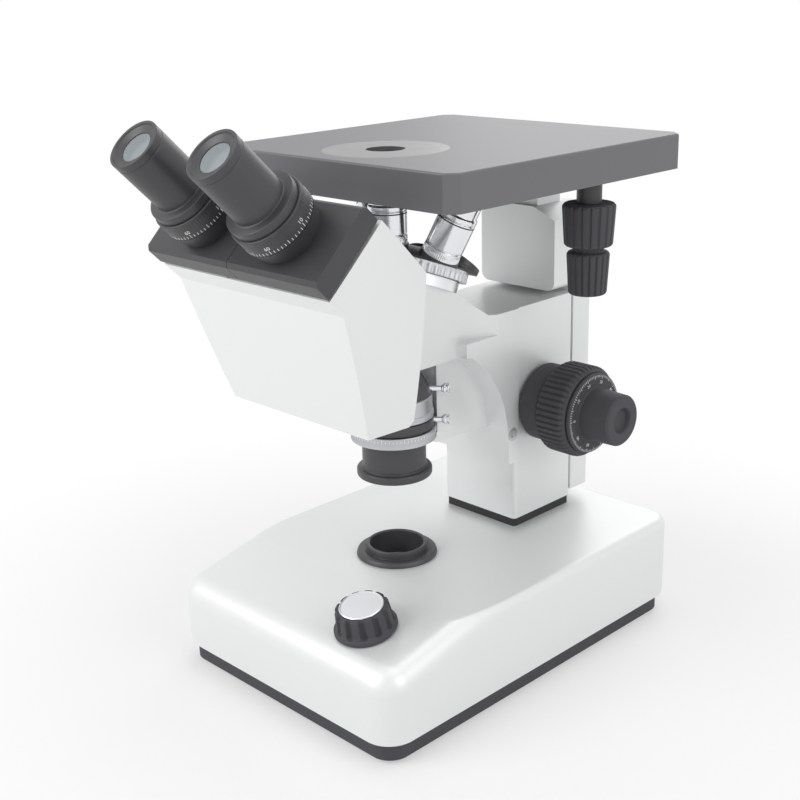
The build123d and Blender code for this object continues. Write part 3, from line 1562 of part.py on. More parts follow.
with BuildPart() as cross_carriage:
    with BuildSketch(Plane.XY.offset(carriage_z)):
        with Locations((0, (carriage_front + stage_plate_rear) / 2)):
            Rectangle(2 * carriage_half_width, stage_plate_rear - carriage_front)
        with Locations((0, (carriage_front + opening_rear) / 2 - 1)):
            Rectangle(
                2 * opening_half_width, opening_rear - carriage_front + 2, mode=Mode.SUBTRACT
            )
    extrude(amount=carriage_thickness)
    with BuildSketch(Plane.XY.offset(carriage_z)):
        with Locations((0, cross_rail_front_y), (0, cross_rail_rear_y)):
            Rectangle(
                cross_rail_length + 2 * stage_cross_travel + 2, stage_rail_width + 2 * stage_rail_gap
            )
    extrude(amount=1.9, mode=Mode.SUBTRACT)
    with BuildSketch(Plane.XY.offset(carriage_top)):
        with Locations((-long_rail_x, 0), (long_rail_x, 0)):
            Rectangle(
                stage_rail_width + 2 * stage_rail_gap, long_rail_length + 2 * stage_travel + 2
            )
    extrude(amount=-1.6, mode=Mode.SUBTRACT)
    with BuildSketch(drive_plane.offset(stem_bottom)):
        Circle(stem_radius)
    extrude(amount=carriage_z - stem_bottom)
    with BuildSketch(drive_plane.offset(stem_bottom)):
        Circle(sleeve_bore)
    extrude(amount=carriage_z - stem_bottom, mode=Mode.SUBTRACT)
    with BuildSketch(drive_plane.offset(stem_bottom)):
        Circle(sleeve_bore)
        Circle(long_shaft_radius + drive_bore_gap, mode=Mode.SUBTRACT)
    extrude(amount=4)
    with BuildSketch(drive_plane.offset(carriage_z)):
        Circle(cross_shaft_radius + drive_bore_gap)
    extrude(amount=carriage_thickness, mode=Mode.SUBTRACT)
    with BuildSketch(drive_plane.offset(stage_plate_z - 0.4)):
        with Locations((0, -stem_radius / 2 - 1.4)):
            Rectangle(2 * stem_radius + 1, stem_radius)
    extrude(amount=stage_plate_thickness + 0.8, mode=Mode.SUBTRACT)
cross_carriage.part.label = "cross_carriage"
export_step(cross_carriage.part, "parts/cross_carriage.step")

with BuildPart() as stage_top:
    with BuildSketch(Plane.XY.offset(stage_bottom)):
        with Locations((0, (stage_front + stage_rear) / 2)):
            Rectangle(2 * stage_half_width, stage_rear - stage_front)
    extrude(amount=stage_height)
    chamfer(stage_top.edges().filter_by(Axis.Z), length=stage_corner)
    fillet(stage_top.faces().sort_by(Axis.Z)[-1].edges(), radius=stage_edge_bevel)
    with BuildSketch(Plane.XY.offset(stage_bottom)):
        with Locations((0, (stage_front + stage_rear) / 2)):
            Rectangle(
                2 * (stage_half_width - stage_skirt), stage_rear - stage_front - 2 * stage_skirt
            )
            for turn_x in (-1, 1):
                for turn_y in (-1, 1):
                    with Locations(
                        (
                            turn_x * (stage_half_width - stage_skirt),
                            turn_y * ((stage_rear - stage_front) / 2 - stage_skirt),
                        )
                    ):
                        Rectangle(
                            stage_corner * 1.1, stage_corner * 1.1, rotation=45,
                            mode=Mode.SUBTRACT,
                        )
    extrude(amount=stage_height - stage_top_thickness, mode=Mode.SUBTRACT)
    with BuildSketch(axis_plane.offset(stage_ceiling)):
        Circle(insert_radius - insert_ledge)
    extrude(amount=stage_top_thickness, mode=Mode.SUBTRACT)
    with BuildSketch(axis_plane.offset(stage_top_z - insert_seat)):
        Circle(insert_radius + shaft_gap)
    extrude(amount=insert_seat, mode=Mode.SUBTRACT)
    with BuildSketch(Plane.XY.offset(stage_ceiling)):
        with Locations((-long_rail_x, 0), (long_rail_x, 0)):
            Rectangle(stage_rail_width, long_rail_length)
    extrude(amount=-(stage_ceiling - carriage_top) - 1.3)
    with BuildSketch(
        Plane(
            origin=(drive_x + drive_pinion_radius, drive_y, carriage_top + 0.4),
            x_dir=(0, 1, 0),
            z_dir=(0, 0, 1),
        )
    ):
        rack_outline(drive_pinion_radius, drive_pinion_teeth, -8 * drive_pitch, 16, 3.4)
    extrude(amount=stage_ceiling - carriage_top - 0.4)
stage_top.part.label = "stage_top"
export_step(stage_top.part, "parts/stage_top.step")

with BuildPart() as stage_insert:
    with BuildSketch(axis_plane.offset(stage_top_z - insert_seat)):
        Circle(insert_radius)
        Circle(insert_hole_radius, mode=Mode.SUBTRACT)
    extrude(amount=insert_seat)
stage_insert.part.label = "stage_insert"
export_step(stage_insert.part, "parts/stage_insert.step")

with BuildPart() as cross_knob:
    with BuildSketch(drive_plane.offset(stem_bottom - running_gap)):
        Circle(upper_knob_radius)
        with PolarLocations(upper_knob_radius + 0.4, drive_flutes):
            Circle(drive_flute_depth, mode=Mode.SUBTRACT)
    extrude(amount=upper_knob_bottom - stem_bottom + running_gap, taper=3)
    with BuildSketch(drive_plane.offset(stem_bottom - running_gap)):
        Circle(long_shaft_radius)
    extrude(amount=cross_pinion_z - stem_bottom + running_gap)
    with BuildSketch(drive_plane.offset(cross_pinion_z)):
        pinion_outline(drive_pinion_radius, drive_pinion_teeth)
    extrude(amount=drive_pinion_height)
    with BuildSketch(drive_plane.offset(upper_knob_bottom)):
        Circle(cross_shaft_radius + drive_bore_gap)
    extrude(amount=cross_pinion_z + drive_pinion_height - upper_knob_bottom, mode=Mode.SUBTRACT)
cross_knob.part.label = "cross_knob"
export_step(cross_knob.part, "parts/cross_knob.step")

with BuildPart() as long_knob:
    with BuildSketch(drive_plane.offset(lower_knob_top)):
        Circle(lower_knob_radius)
        with PolarLocations(lower_knob_radius + 0.4, drive_flutes):
            Circle(drive_flute_depth, mode=Mode.SUBTRACT)
    extrude(amount=lower_knob_bottom - lower_knob_top, taper=3)
    with BuildSketch(drive_plane.offset(lower_knob_top)):
        Circle(drive_neck_radius)
    extrude(amount=upper_knob_bottom - running_gap - lower_knob_top)
    with BuildSketch(drive_plane.offset(upper_knob_bottom - running_gap)):
        Circle(cross_shaft_radius)
    extrude(amount=long_pinion_z - upper_knob_bottom + running_gap)
    with BuildSketch(drive_plane.offset(long_pinion_z)):
        pinion_outline(drive_pinion_radius, drive_pinion_teeth)
    extrude(amount=drive_pinion_height)
long_knob.part.label = "long_knob"
export_step(long_knob.part, "parts/long_knob.step")
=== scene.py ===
"""Looks of an inverted reflected-light microscope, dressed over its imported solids.

Every class below is one sub-assembly of the stand.  Sizes are in millimetres in the part's own frame:
+Z up, -Y towards the user, +X to the user's right, origin under the middle of the base plate.
"""

import logging
import math
from dataclasses import dataclass
from enum import Enum

import bmesh
import bpy
import numpy as np
from mathutils import Matrix, Vector


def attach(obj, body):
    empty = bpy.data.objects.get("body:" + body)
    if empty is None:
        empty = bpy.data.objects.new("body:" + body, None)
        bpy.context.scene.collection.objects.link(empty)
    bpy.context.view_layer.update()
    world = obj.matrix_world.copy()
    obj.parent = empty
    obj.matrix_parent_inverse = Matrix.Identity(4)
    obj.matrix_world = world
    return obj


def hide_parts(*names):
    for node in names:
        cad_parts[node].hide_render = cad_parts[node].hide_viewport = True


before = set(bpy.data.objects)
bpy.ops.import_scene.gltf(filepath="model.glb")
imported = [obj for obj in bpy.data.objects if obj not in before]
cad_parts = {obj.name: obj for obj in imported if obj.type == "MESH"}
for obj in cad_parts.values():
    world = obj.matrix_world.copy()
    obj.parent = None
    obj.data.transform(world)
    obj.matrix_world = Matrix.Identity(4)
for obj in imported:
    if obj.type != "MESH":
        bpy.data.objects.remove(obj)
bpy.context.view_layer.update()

log = logging.getLogger("microscope")

MM = 0.001
OPTICAL_Y = -29.2
MARK_PROUD = 0.05
SHARP_ANGLE = 35.0
MERGE_DISTANCE = 1e-7
FLOOR_Z = -2.4
Shape = tuple[np.ndarray, list]


class Side(Enum):
    """The two sides of the symmetry plane, as the sign of X."""

    LEFT = -1
    RIGHT = 1


class Cut(Enum):
    """Forms of the grip that is cut round a knob or ring."""

    GROOVE = "narrow rounded grooves between wide ribs"
    SCALLOP = "wide hollows between narrow ribs"
    KNURL = "fine pointed ridges"


class Grain(Enum):
    """What a finish's surface relief looks like."""

    PEEL = "faint orange peel of sprayed enamel"
    CRINKLE = "crinkle lacquer"
    MOULD = "fine spark-eroded mould texture"
    TURNED = "circular tool marks about the piece's axis"
    CLEAR = "no relief, only a little haze"


# Placed axes


@dataclass(frozen=True)
class Axle:
    """A placed axis of a round piece, in millimetres in the row frame."""

    origin: tuple[float, float, float]
    along: tuple[float, float, float]
    across: tuple[float, float, float] = (1.0, 0.0, 0.0)

    def rows(self) -> np.ndarray:
        """The unit vectors across, sideways and along, one a row."""
        w = np.array(self.along, float)
        w /= np.linalg.norm(w)
        u = np.array(self.across, float)
        u -= w * (u @ w)
        u /= np.linalg.norm(u)
        return np.array([u, np.cross(w, u), w])

    def place(self, local: np.ndarray) -> np.ndarray:
        """Moves local points to the row frame.

        The formula is origin + x * across + y * sideways + z * along, times a millimetre.

        Args:
            local: points (n, 3) in millimetres about this axis.

        Returns:
            The points (n, 3) in metres in the row frame.
        """
        return (np.array(self.origin) + local @ self.rows()) * MM

    def shifted(self, x: float = 0.0, y: float = 0.0, z: float = 0.0) -> "Axle":
        """The same axis with its origin moved in its own directions."""
        origin = np.array(self.origin) + np.array([x, y, z]) @ self.rows()
        return Axle(tuple(origin), self.along, self.across)

    def label(self) -> str:
        """A short name of this axis: its origin in tenths of a millimetre, its direction in percent."""
        numbers = [10 * value for value in self.origin] + [100 * value for value in self.along]
        return "_".join(str(round(value)) for value in numbers)

    def centring(self) -> tuple[Vector, tuple[float, float, float]]:
        """Location and rotation of a Mapping node that puts this axis on local Z."""
        turn = Matrix([list(row) for row in self.rows()])
        return -(turn @ (Vector(self.origin) * MM)), tuple(turn.to_euler("XYZ"))


def tilted(y: float, z: float, lean: float) -> Axle:
    """An axis in the symmetry plane that leans towards the user by an angle in degrees."""
    return Axle((0.0, y, z), (0.0, -math.sin(math.radians(lean)), math.cos(math.radians(lean))))


BEAM = Axle((0.0, OPTICAL_Y, 0.0), (0.0, 0.0, 1.0))
HEAD = tilted(-112.85, 257.5, 45.0)
TURRET = tilted(OPTICAL_Y, 178.1, -22.0)
SLOPE = tilted(-70.5, 61.1, 12.0)
DRIVE = Axle((75.3, 48.2, 0.0), (0.0, 0.0, 1.0))


def shaft(side: Side) -> Axle:
    """The focus shaft's axis, pointing out of the stand on one side."""
    return Axle((0.0, 66.8, 136.9), (float(side.value), 0.0, 0.0), (0.0, -1.0, 0.0))


def objective_axis(angle: float) -> Axle:
    """Axis of the objective seat at an angle round the turret, through the cone's apex."""
    swing = Matrix.Rotation(math.radians(angle), 3, Vector(TURRET.along))
    return Axle(TURRET.origin, tuple(swing @ Vector((0, 0, 1))), tuple(swing @ Vector((1, 0, 0))))


# Surfaces as arrays


@dataclass(frozen=True)
class Grip:
    """Flutes or knurling round a turned piece, between two heights."""

    count: int
    depth: float
    low: float
    high: float
    share: float = 0.5
    cut: Cut = Cut.GROOVE
    outside: float = 0.0

    def relief(self, angle: np.ndarray, radius: np.ndarray, height: np.ndarray) -> np.ndarray:
        """Depth cut from the radius.

        With p the phase in one pitch from -1/2 to 1/2, a groove or scallop is
        1 - (2 p / share)^2 where that is positive, and a knurl is 1 - |2 p|.  It fades in over
        half a millimetre at both heights, and only points outside a radius are cut.

        Args:
            angle: angles (1, n) round the axis.
            radius: profile radii (m, 1).
            height: profile heights (m, 1).

        Returns:
            The depths (m, n) in millimetres.
        """
        phase = (angle * self.count / (2 * math.pi)) % 1.0 - 0.5
        if self.cut is Cut.KNURL:
            wave = 1.0 - np.abs(2 * phase)
        else:
            wave = np.clip(1.0 - (2 * phase / self.share) ** 2, 0.0, 1.0)
        fade = np.clip((height - self.low) / 0.5, 0, 1) * np.clip((self.high - height) / 0.5, 0, 1)
        return self.depth * wave * fade * (radius > self.outside)


def eased(corners: list[tuple[float, float]], ease: float, closed: bool, steps: int = 5) -> np.ndarray:
    """Rounds the corners of a profile.

    Each corner P becomes the quadratic Bezier curve A (1-t)^2 + 2 P t (1-t) + B t^2, where A and B
    lie on its two edges at the ease distance, or at 0.4 of an edge that is shorter than that allows.

    Args:
        corners: radius and height of each corner.
        ease: distance from the corner at which the rounding starts.
        closed: whether the last corner joins the first.
        steps: points on each rounding.

    Returns:
        The rounded profile's points (n, 2).
    """
    points = np.array(corners, float)
    before = np.roll(points, 1, axis=0) - points
    after = np.roll(points, -1, axis=0) - points
    long_before = np.linalg.norm(before, axis=1, keepdims=True)
    long_after = np.linalg.norm(after, axis=1, keepdims=True)
    start = points + before * np.minimum(ease / long_before, 0.4)
    end = points + after * np.minimum(ease / long_after, 0.4)
    if not closed:
        start[[0, -1]] = end[[0, -1]] = points[[0, -1]]
    t = np.linspace(0, 1, steps)[None, :, None]
    bend = start[:, None] * (1 - t) ** 2 + 2 * points[:, None] * t * (1 - t) + end[:, None] * t**2
    return bend.reshape(-1, 2)


def refined(profile: np.ndarray, step: float, closed: bool) -> np.ndarray:
    """Adds points along a profile so that no two are more than a step apart.

    The profile is read at its own arc lengths and at even arc lengths, sorted together.
    """
    line = np.vstack([profile, profile[:1]]) if closed else profile
    run = np.concatenate([[0.0], np.cumsum(np.linalg.norm(np.diff(line, axis=0), axis=1))])
    even = np.linspace(0, run[-1], max(2, int(run[-1] / step)))
    where = np.unique(np.round(np.concatenate([run, even]), 4))
    read = np.stack([np.interp(where, run, line[:, k]) for k in (0, 1)], axis=1)
    return read[:-1] if closed else read


def turned(
    corners: list[tuple[float, float]],
    ease: float = 0.3,
    segments: int = 96,
    closed: bool = True,
    grips: tuple[Grip, ...] = (),
) -> Shape:
    """A piece turned on a lathe.

    P(t, a) = (r cos a, r sin a, h), where (r(t), h(t)) is the eased profile and each grip's relief
    is taken off r.

    Args:
        corners: radius and height of the profile's corners, millimetres.
        ease: rounding distance at the corners.
        segments: points round the axis.
        closed: True for a ring, False for a profile with both ends on the axis.
        grips: flutes cut into it.

    Returns:
        The points (n, 3) about the local Z axis, and the faces.
    """
    profile = eased(corners, ease, closed)
    if grips:
        profile = refined(profile, 1.2, closed)
    angle = np.linspace(0, 2 * math.pi, segments, endpoint=False)[None, :]
    radius, height = profile[:, :1], profile[:, 1:]
    cut = sum((grip.relief(angle, radius, height) for grip in grips), np.zeros((len(profile), segments)))
    reach = np.maximum(radius - cut, 0.0)
    points = np.stack([reach * np.cos(angle), reach * np.sin(angle), height + 0 * angle], axis=2)
    return points.reshape(-1, 3), grid_faces(len(profile), segments, closed)


def grid_faces(rows: int, columns: int, closed: bool) -> list:
    """Quads of a grid whose columns wrap round, and whose rows wrap round when it is closed."""
    row = np.arange(rows if closed else rows - 1)[:, None]
    column = np.arange(columns)[None, :]
    low, high = row * columns, ((row + 1) % rows) * columns
    step = (column + 1) % columns
    quads = np.stack([low + column, low + step, high + step, high + column], axis=2)
    return quads.reshape(-1, 4).tolist()


def boxes(centres: np.ndarray, axes: np.ndarray, halves: np.ndarray) -> Shape:
    """Many small boxes at once.

    Corner k of box i is centre i + sum over j of sign(k, j) * half(i, j) * axis(i, j).

    Args:
        centres: middles (n, 3).
        axes: unit vectors (n, 3, 3), one direction a row.
        halves: half sizes (n, 3).

    Returns:
        The points and the faces.
    """
    signs = np.array([[i, j, k] for i in (-1, 1) for j in (-1, 1) for k in (-1, 1)], float)
    reach = axes * halves[:, :, None]
    points = centres[:, None, :] + np.einsum("kj,njc->nkc", signs, reach)
    sides = np.array([[0, 1, 3, 2], [4, 6, 7, 5], [0, 4, 5, 1], [2, 3, 7, 6], [0, 2, 6, 4], [1, 5, 7, 3]])
    faces = (np.arange(len(centres))[:, None, None] * 8 + sides[None]).reshape(-1, 4)
    return points.reshape(-1, 3), faces.tolist()


def even_angles(count: int) -> np.ndarray:
    """Angles of a count of marks spaced evenly round an axis, from zero."""
    return np.arange(count) * 2 * math.pi / count


def long_every(count: int, step: int, long: float, short: float) -> np.ndarray:
    """One value a mark: the long one at every step, and the short one between."""
    return np.where(np.arange(count) % step == 0, long, short)


def outward(angles: np.ndarray) -> np.ndarray:
    """Unit vectors (n, 3, 3) at each angle: outwards, sideways and up, one a row."""
    flat, turn = 0 * angles, np.stack([np.cos(angles), np.sin(angles)], axis=1)
    out = np.column_stack([turn, flat])
    side = np.column_stack([-turn[:, 1], turn[:, 0], flat])
    return np.stack([out, side, np.column_stack([flat, flat, flat + 1.0])], axis=1)


def rim_ticks(angles: np.ndarray, radius: float, low: float, tall: np.ndarray, wide: float) -> Shape:
    """Scale lines on a cylinder: a box at each angle that stands proud of the radius."""
    axes = outward(angles)
    centres = axes[:, 0] * radius + axes[:, 2] * (low + tall[:, None] / 2)
    same = np.ones(len(angles))
    return boxes(centres, axes, np.stack([same * MARK_PROUD, same * wide / 2, tall / 2], axis=1))


def face_ticks(angles: np.ndarray, inner: np.ndarray, outer: float, height: float, wide: float) -> Shape:
    """Scale lines on a flat face: a box at each angle from an inner to an outer radius."""
    axes = outward(angles)
    centres = axes[:, 0] * (inner[:, None] + outer) / 2 + axes[:, 2] * height
    same = np.ones(len(angles))
    halves = np.stack([(outer - inner) / 2, same * wide / 2, same * MARK_PROUD], axis=1)
    return boxes(centres, axes, halves)


def numeral(text: str, size: float) -> Shape:
    """A raised dial number in the XY plane, centred on its middle, made a mesh at once."""
    curve = bpy.data.curves.new("numeral", "FONT")
    curve.body, curve.size, curve.extrude = text, size, MARK_PROUD
    curve.align_x, curve.align_y = "CENTER", "CENTER"
    curve.resolution_u = 2
    holder = bpy.data.objects.new("numeral", curve)
    bpy.context.scene.collection.objects.link(holder)
    bpy.context.view_layer.update()
    mesh = bpy.data.meshes.new_from_object(holder.evaluated_get(bpy.context.evaluated_depsgraph_get()))
    points = np.zeros(len(mesh.vertices) * 3)
    mesh.vertices.foreach_get("co", points)
    faces = [list(polygon.vertices) for polygon in mesh.polygons]
    bpy.data.objects.remove(holder)
    bpy.data.meshes.remove(mesh)
    bpy.data.curves.remove(curve)
    return points.reshape(-1, 3), faces


def wrapped(shape: Shape, radius: float, angle: float, height: float) -> Shape:
    """Lays a flat shape on a cylinder: x becomes the arc angle + x / radius, y the height."""
    points, faces = shape
    turn = angle + points[:, 0] / radius
    reach = radius + points[:, 2]
    return np.stack([reach * np.cos(turn), reach * np.sin(turn), height + points[:, 1]], axis=1), faces


def on_face(shape: Shape, radius: float, angle: float, height: float) -> Shape:
    """Lays a flat shape on an end face with its top pointing outwards at an angle."""
    points, faces = shape
    out = np.array([math.cos(angle), math.sin(angle), 0.0])
    side = np.array([math.sin(angle), -math.cos(angle), 0.0])
    spot = out * radius + np.array([0.0, 0.0, height])
    return spot + points[:, :1] * side + points[:, 1:2] * out + points[:, 2:] * [0.0, 0.0, 1.0], faces


def joined(shapes: list[Shape]) -> Shape:
    """Puts several shapes in one list of points and faces."""
    starts = np.cumsum([0] + [len(points) for points, _ in shapes])
    faces = [[int(v + start) for v in face] for (_, fs), start in zip(shapes, starts) for face in fs]
    return np.vstack([points for points, _ in shapes]), faces


def prism(outline: np.ndarray, low: float, high: float) -> Shape:
    """A flat outline in XY given a thickness along Z."""
    count = len(outline)
    flat = np.tile(outline, (2, 1))
    points = np.column_stack([flat, np.repeat([low, high], count)])
    ring = np.arange(count)
    step = (ring + 1) % count
    walls = np.stack([ring, step, step + count, ring + count], axis=1).tolist()
    return points, walls + [ring[::-1].tolist(), (ring + count).tolist()]


def make_piece(
    name: str, shape: Shape, axle: Axle, finish: "Finish", body: str, node: str = ""
) -> bpy.types.Object:
    """Makes a mesh object of a shape, with its place in its mesh.

    Args:
        name: the piece's name.
        shape: points in millimetres about the axle, and faces.
        axle: where the shape goes.
        finish: what it is made of.
        body: the body of the model that it moves with.
        node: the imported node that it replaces, if it replaces one.

    Returns:
        The new object, which rides on its body.
    """
    points, faces = shape
    mesh = bpy.data.meshes.new(name)
    mesh.from_pydata(axle.place(points), [], faces)
    work = bmesh.new()
    work.from_mesh(mesh)
    bmesh.ops.remove_doubles(work, verts=work.verts, dist=MERGE_DISTANCE)
    bmesh.ops.recalc_face_normals(work, faces=work.faces)
    work.to_mesh(mesh)
    work.free()
    mesh.shade_smooth()
    mesh.set_sharp_from_angle(angle=math.radians(SHARP_ANGLE))
    mesh.materials.append(finish.material(axle))
    piece = bpy.data.objects.new(name, mesh)
    bpy.context.scene.collection.objects.link(piece)
    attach(piece, body)
    if node:
        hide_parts(node)
    log.info("%s rides on %s with %d faces", name, body, len(mesh.polygons))
    return piece


# Shader groups


def new_group(name: str, inputs: dict[str, float], outputs: dict[str, str]) -> bpy.types.NodeTree:
    """A shader node group with a Vector input, number inputs and the outputs named with their kinds."""
    group = bpy.data.node_groups.new(name, "ShaderNodeTree")
    group.interface.new_socket("Vector", in_out="INPUT", socket_type="NodeSocketVector")
    for label, value in inputs.items():
        kind = "NodeSocketColor" if isinstance(value, tuple) else "NodeSocketFloat"
        socket = group.interface.new_socket(label, in_out="INPUT", socket_type=kind)
        socket.default_value = value
    for label, kind in outputs.items():
        group.interface.new_socket(label, in_out="OUTPUT", socket_type=kind)
    return group


@dataclass
class Wiring:
    """Short ways to add and join nodes in one node tree."""

    tree: bpy.types.NodeTree

    def node(self, kind: str, **settings: object) -> bpy.types.Node:
        """Adds a node and sets its properties."""
        made = self.tree.nodes.new(kind)
        for key, value in settings.items():
            setattr(made, key, value)
        return made

    def join(self, source: bpy.types.NodeSocket, target: bpy.types.NodeSocket) -> None:
        """Links two sockets."""
        self.tree.links.new(source, target)

    def math(self, operation: str, first: object, second: object = 0.0) -> bpy.types.NodeSocket:
        """Adds a Math node, whose two inputs are sockets or numbers."""
        made = self.node("ShaderNodeMath", operation=operation)
        for socket, value in zip(made.inputs, (first, second)):
            if isinstance(value, bpy.types.NodeSocket):
                self.join(value, socket)
            else:
                socket.default_value = value
        return made.outputs[0]

    def noise(self, vector: bpy.types.NodeSocket, scale: object, detail: float) -> bpy.types.NodeSocket:
        """Adds a noise texture on a vector, with a number or a socket as its scale."""
        made = self.node("ShaderNodeTexNoise")
        made.inputs["Detail"].default_value = detail
        self.join(vector, made.inputs["Vector"])
        if isinstance(scale, bpy.types.NodeSocket):
            self.join(scale, made.inputs["Scale"])
        else:
            made.inputs["Scale"].default_value = scale
        return made.outputs["Fac"]


def handling_group() -> bpy.types.NodeTree:
    """Colour and roughness that vary slowly over a surface, as on a thing that is wiped and handled.

    Colour is the base colour times 1 + tint * (broad noise - 1/2), and roughness the base roughness
    plus spread * (smudge noise - 1/2).
    """
    group = new_group(
        "handling",
        {"Colour": (0.8, 0.8, 0.8, 1.0), "Tint": 0.04, "Roughness": 0.4, "Spread": 0.08, "Scale": 22.0},
        {"Colour": "NodeSocketColor", "Roughness": "NodeSocketFloat"},
    )
    w = Wiring(group)
    given, out = w.node("NodeGroupInput"), w.node("NodeGroupOutput")
    broad = w.noise(given.outputs["Vector"], given.outputs["Scale"], 3.0)
    smudge = w.noise(given.outputs["Vector"], w.math("MULTIPLY", given.outputs["Scale"], 3.7), 5.0)
    factor = w.math("ADD", 1.0, w.math("MULTIPLY", given.outputs["Tint"], w.math("SUBTRACT", broad, 0.5)))
    scale = w.node("ShaderNodeVectorMath", operation="SCALE")
    w.join(given.outputs["Colour"], scale.inputs[0])
    w.join(factor, scale.inputs["Scale"])
    w.join(scale.outputs[0], out.inputs["Colour"])
    change = w.math("MULTIPLY", given.outputs["Spread"], w.math("SUBTRACT", smudge, 0.5))
    w.join(w.math("ADD", given.outputs["Roughness"], change), out.inputs["Roughness"])
    return group


def relief_group() -> bpy.types.NodeTree:
    """Height of a sprayed, crinkled or moulded surface.

    Height is amount * fine noise + (1 - amount) * cell distance, both at the given scale.
    """
    group = new_group("relief", {"Scale": 900.0, "Amount": 1.0}, {"Height": "NodeSocketFloat"})
    w = Wiring(group)
    given, out = w.node("NodeGroupInput"), w.node("NodeGroupOutput")
    fine = w.noise(given.outputs["Vector"], given.outputs["Scale"], 2.0)
    cells = w.node("ShaderNodeTexVoronoi")
    w.join(given.outputs["Vector"], cells.inputs["Vector"])
    w.join(given.outputs["Scale"], cells.inputs["Scale"])
    soft = w.math("MULTIPLY", given.outputs["Amount"], fine)
    rough = w.math("MULTIPLY", w.math("SUBTRACT", 1.0, given.outputs["Amount"]), cells.outputs["Distance"])
    w.join(w.math("ADD", soft, rough), out.inputs["Height"])
    return group


def tool_marks_group() -> bpy.types.NodeTree:
    """Circular tool marks about local Z: noise read at (radius, height) only, so it runs in rings."""
    group = new_group("tool_marks", {"Scale": 1500.0}, {"Height": "NodeSocketFloat"})
    w = Wiring(group)
    given, out = w.node("NodeGroupInput"), w.node("NodeGroupOutput")
    parts = w.node("ShaderNodeSeparateXYZ")
    w.join(given.outputs["Vector"], parts.inputs[0])
    x, y, z = parts.outputs
    radius = w.math("SQRT", w.math("ADD", w.math("MULTIPLY", x, x), w.math("MULTIPLY", y, y)))
    rings = w.node("ShaderNodeCombineXYZ")
    w.join(radius, rings.inputs[0])
    w.join(z, rings.inputs[2])
    w.join(w.noise(rings.outputs[0], given.outputs["Scale"], 2.0), out.inputs["Height"])
    return group


class Groups:
    """The shared node groups, each built once."""

    handling = handling_group()
    relief = relief_group()
    tool_marks = tool_marks_group()


# Finishes


@dataclass(frozen=True)
class Finish:
    """One procedural finish of the instrument."""

    slot: str
    color: tuple[float, float, float]
    roughness: float
    metallic: float = 0.0
    specular: float = 0.5
    coat: float = 0.0
    coat_roughness: float = 0.12
    crinkle_share: float = 0.35
    grain: Grain = Grain.PEEL
    grain_scale: float = 900.0
    grain_height: float = 0.00002
    tint: float = 0.04
    spread: float = 0.08
    label: str = ""

    def material(self, axle: Axle | None = None) -> bpy.types.Material:
        """Builds, or finds, the material, with tool marks centred on an axle where it has them."""
        centred = self.grain is Grain.TURNED and axle is not None
        name = self.label or self.slot
        if centred:
            name += "_" + axle.label()
        if name in bpy.data.materials:
            return bpy.data.materials[name]
        made = bpy.data.materials.new(name)
        made.use_nodes = True
        w = Wiring(made.node_tree)
        shader = made.node_tree.nodes["Principled BSDF"]
        spot = w.node("ShaderNodeTexCoord").outputs["Object"]
        if centred:
            mapping = w.node("ShaderNodeMapping")
            location, rotation = axle.centring()
            mapping.inputs["Location"].default_value = location
            mapping.inputs["Rotation"].default_value = rotation
            w.join(spot, mapping.inputs["Vector"])
            spot = mapping.outputs[0]
        handled = w.node("ShaderNodeGroup", node_tree=Groups.handling)
        w.join(spot, handled.inputs["Vector"])
        handled.inputs["Colour"].default_value = (*self.color, 1.0)
        handled.inputs["Tint"].default_value = self.tint
        handled.inputs["Roughness"].default_value = self.roughness
        handled.inputs["Spread"].default_value = self.spread
        w.join(handled.outputs["Colour"], shader.inputs["Base Color"])
        w.join(handled.outputs["Roughness"], shader.inputs["Roughness"])
        shader.inputs["Metallic"].default_value = self.metallic
        shader.inputs["Specular IOR Level"].default_value = self.specular
        shader.inputs["Coat Weight"].default_value = self.coat
        shader.inputs["Coat Roughness"].default_value = self.coat_roughness
        if self.grain is not Grain.CLEAR:
            w.join(self.bump(w, spot), shader.inputs["Normal"])
        return made

    def bump(self, w: Wiring, spot: bpy.types.NodeSocket) -> bpy.types.NodeSocket:
        """Adds the relief of this finish's grain and returns its normal."""
        tree = Groups.tool_marks if self.grain is Grain.TURNED else Groups.relief
        relief = w.node("ShaderNodeGroup", node_tree=tree)
        w.join(spot, relief.inputs["Vector"])
        relief.inputs["Scale"].default_value = self.grain_scale
        if self.grain is Grain.CRINKLE:
            relief.inputs["Amount"].default_value = self.crinkle_share
        bump = w.node("ShaderNodeBump")
        bump.inputs["Strength"].default_value = 1.0
        bump.inputs["Distance"].default_value = self.grain_height
        w.join(relief.outputs["Height"], bump.inputs["Height"])
        return bump.outputs[0]


@dataclass(frozen=True)
class Glass(Finish):
    """Clear glass with a coated surface."""

    transmission: float = 0.75
    index: float = 1.52

    def material(self, axle: Axle | None = None) -> bpy.types.Material:
        """Builds, or finds, the material of a lens or prism."""
        name = self.label or self.slot
        if name in bpy.data.materials:
            return bpy.data.materials[name]
        made = super().material(None)
        shader = made.node_tree.nodes["Principled BSDF"]
        shader.inputs["Transmission Weight"].default_value = self.transmission
        shader.inputs["IOR"].default_value = self.index
        return made


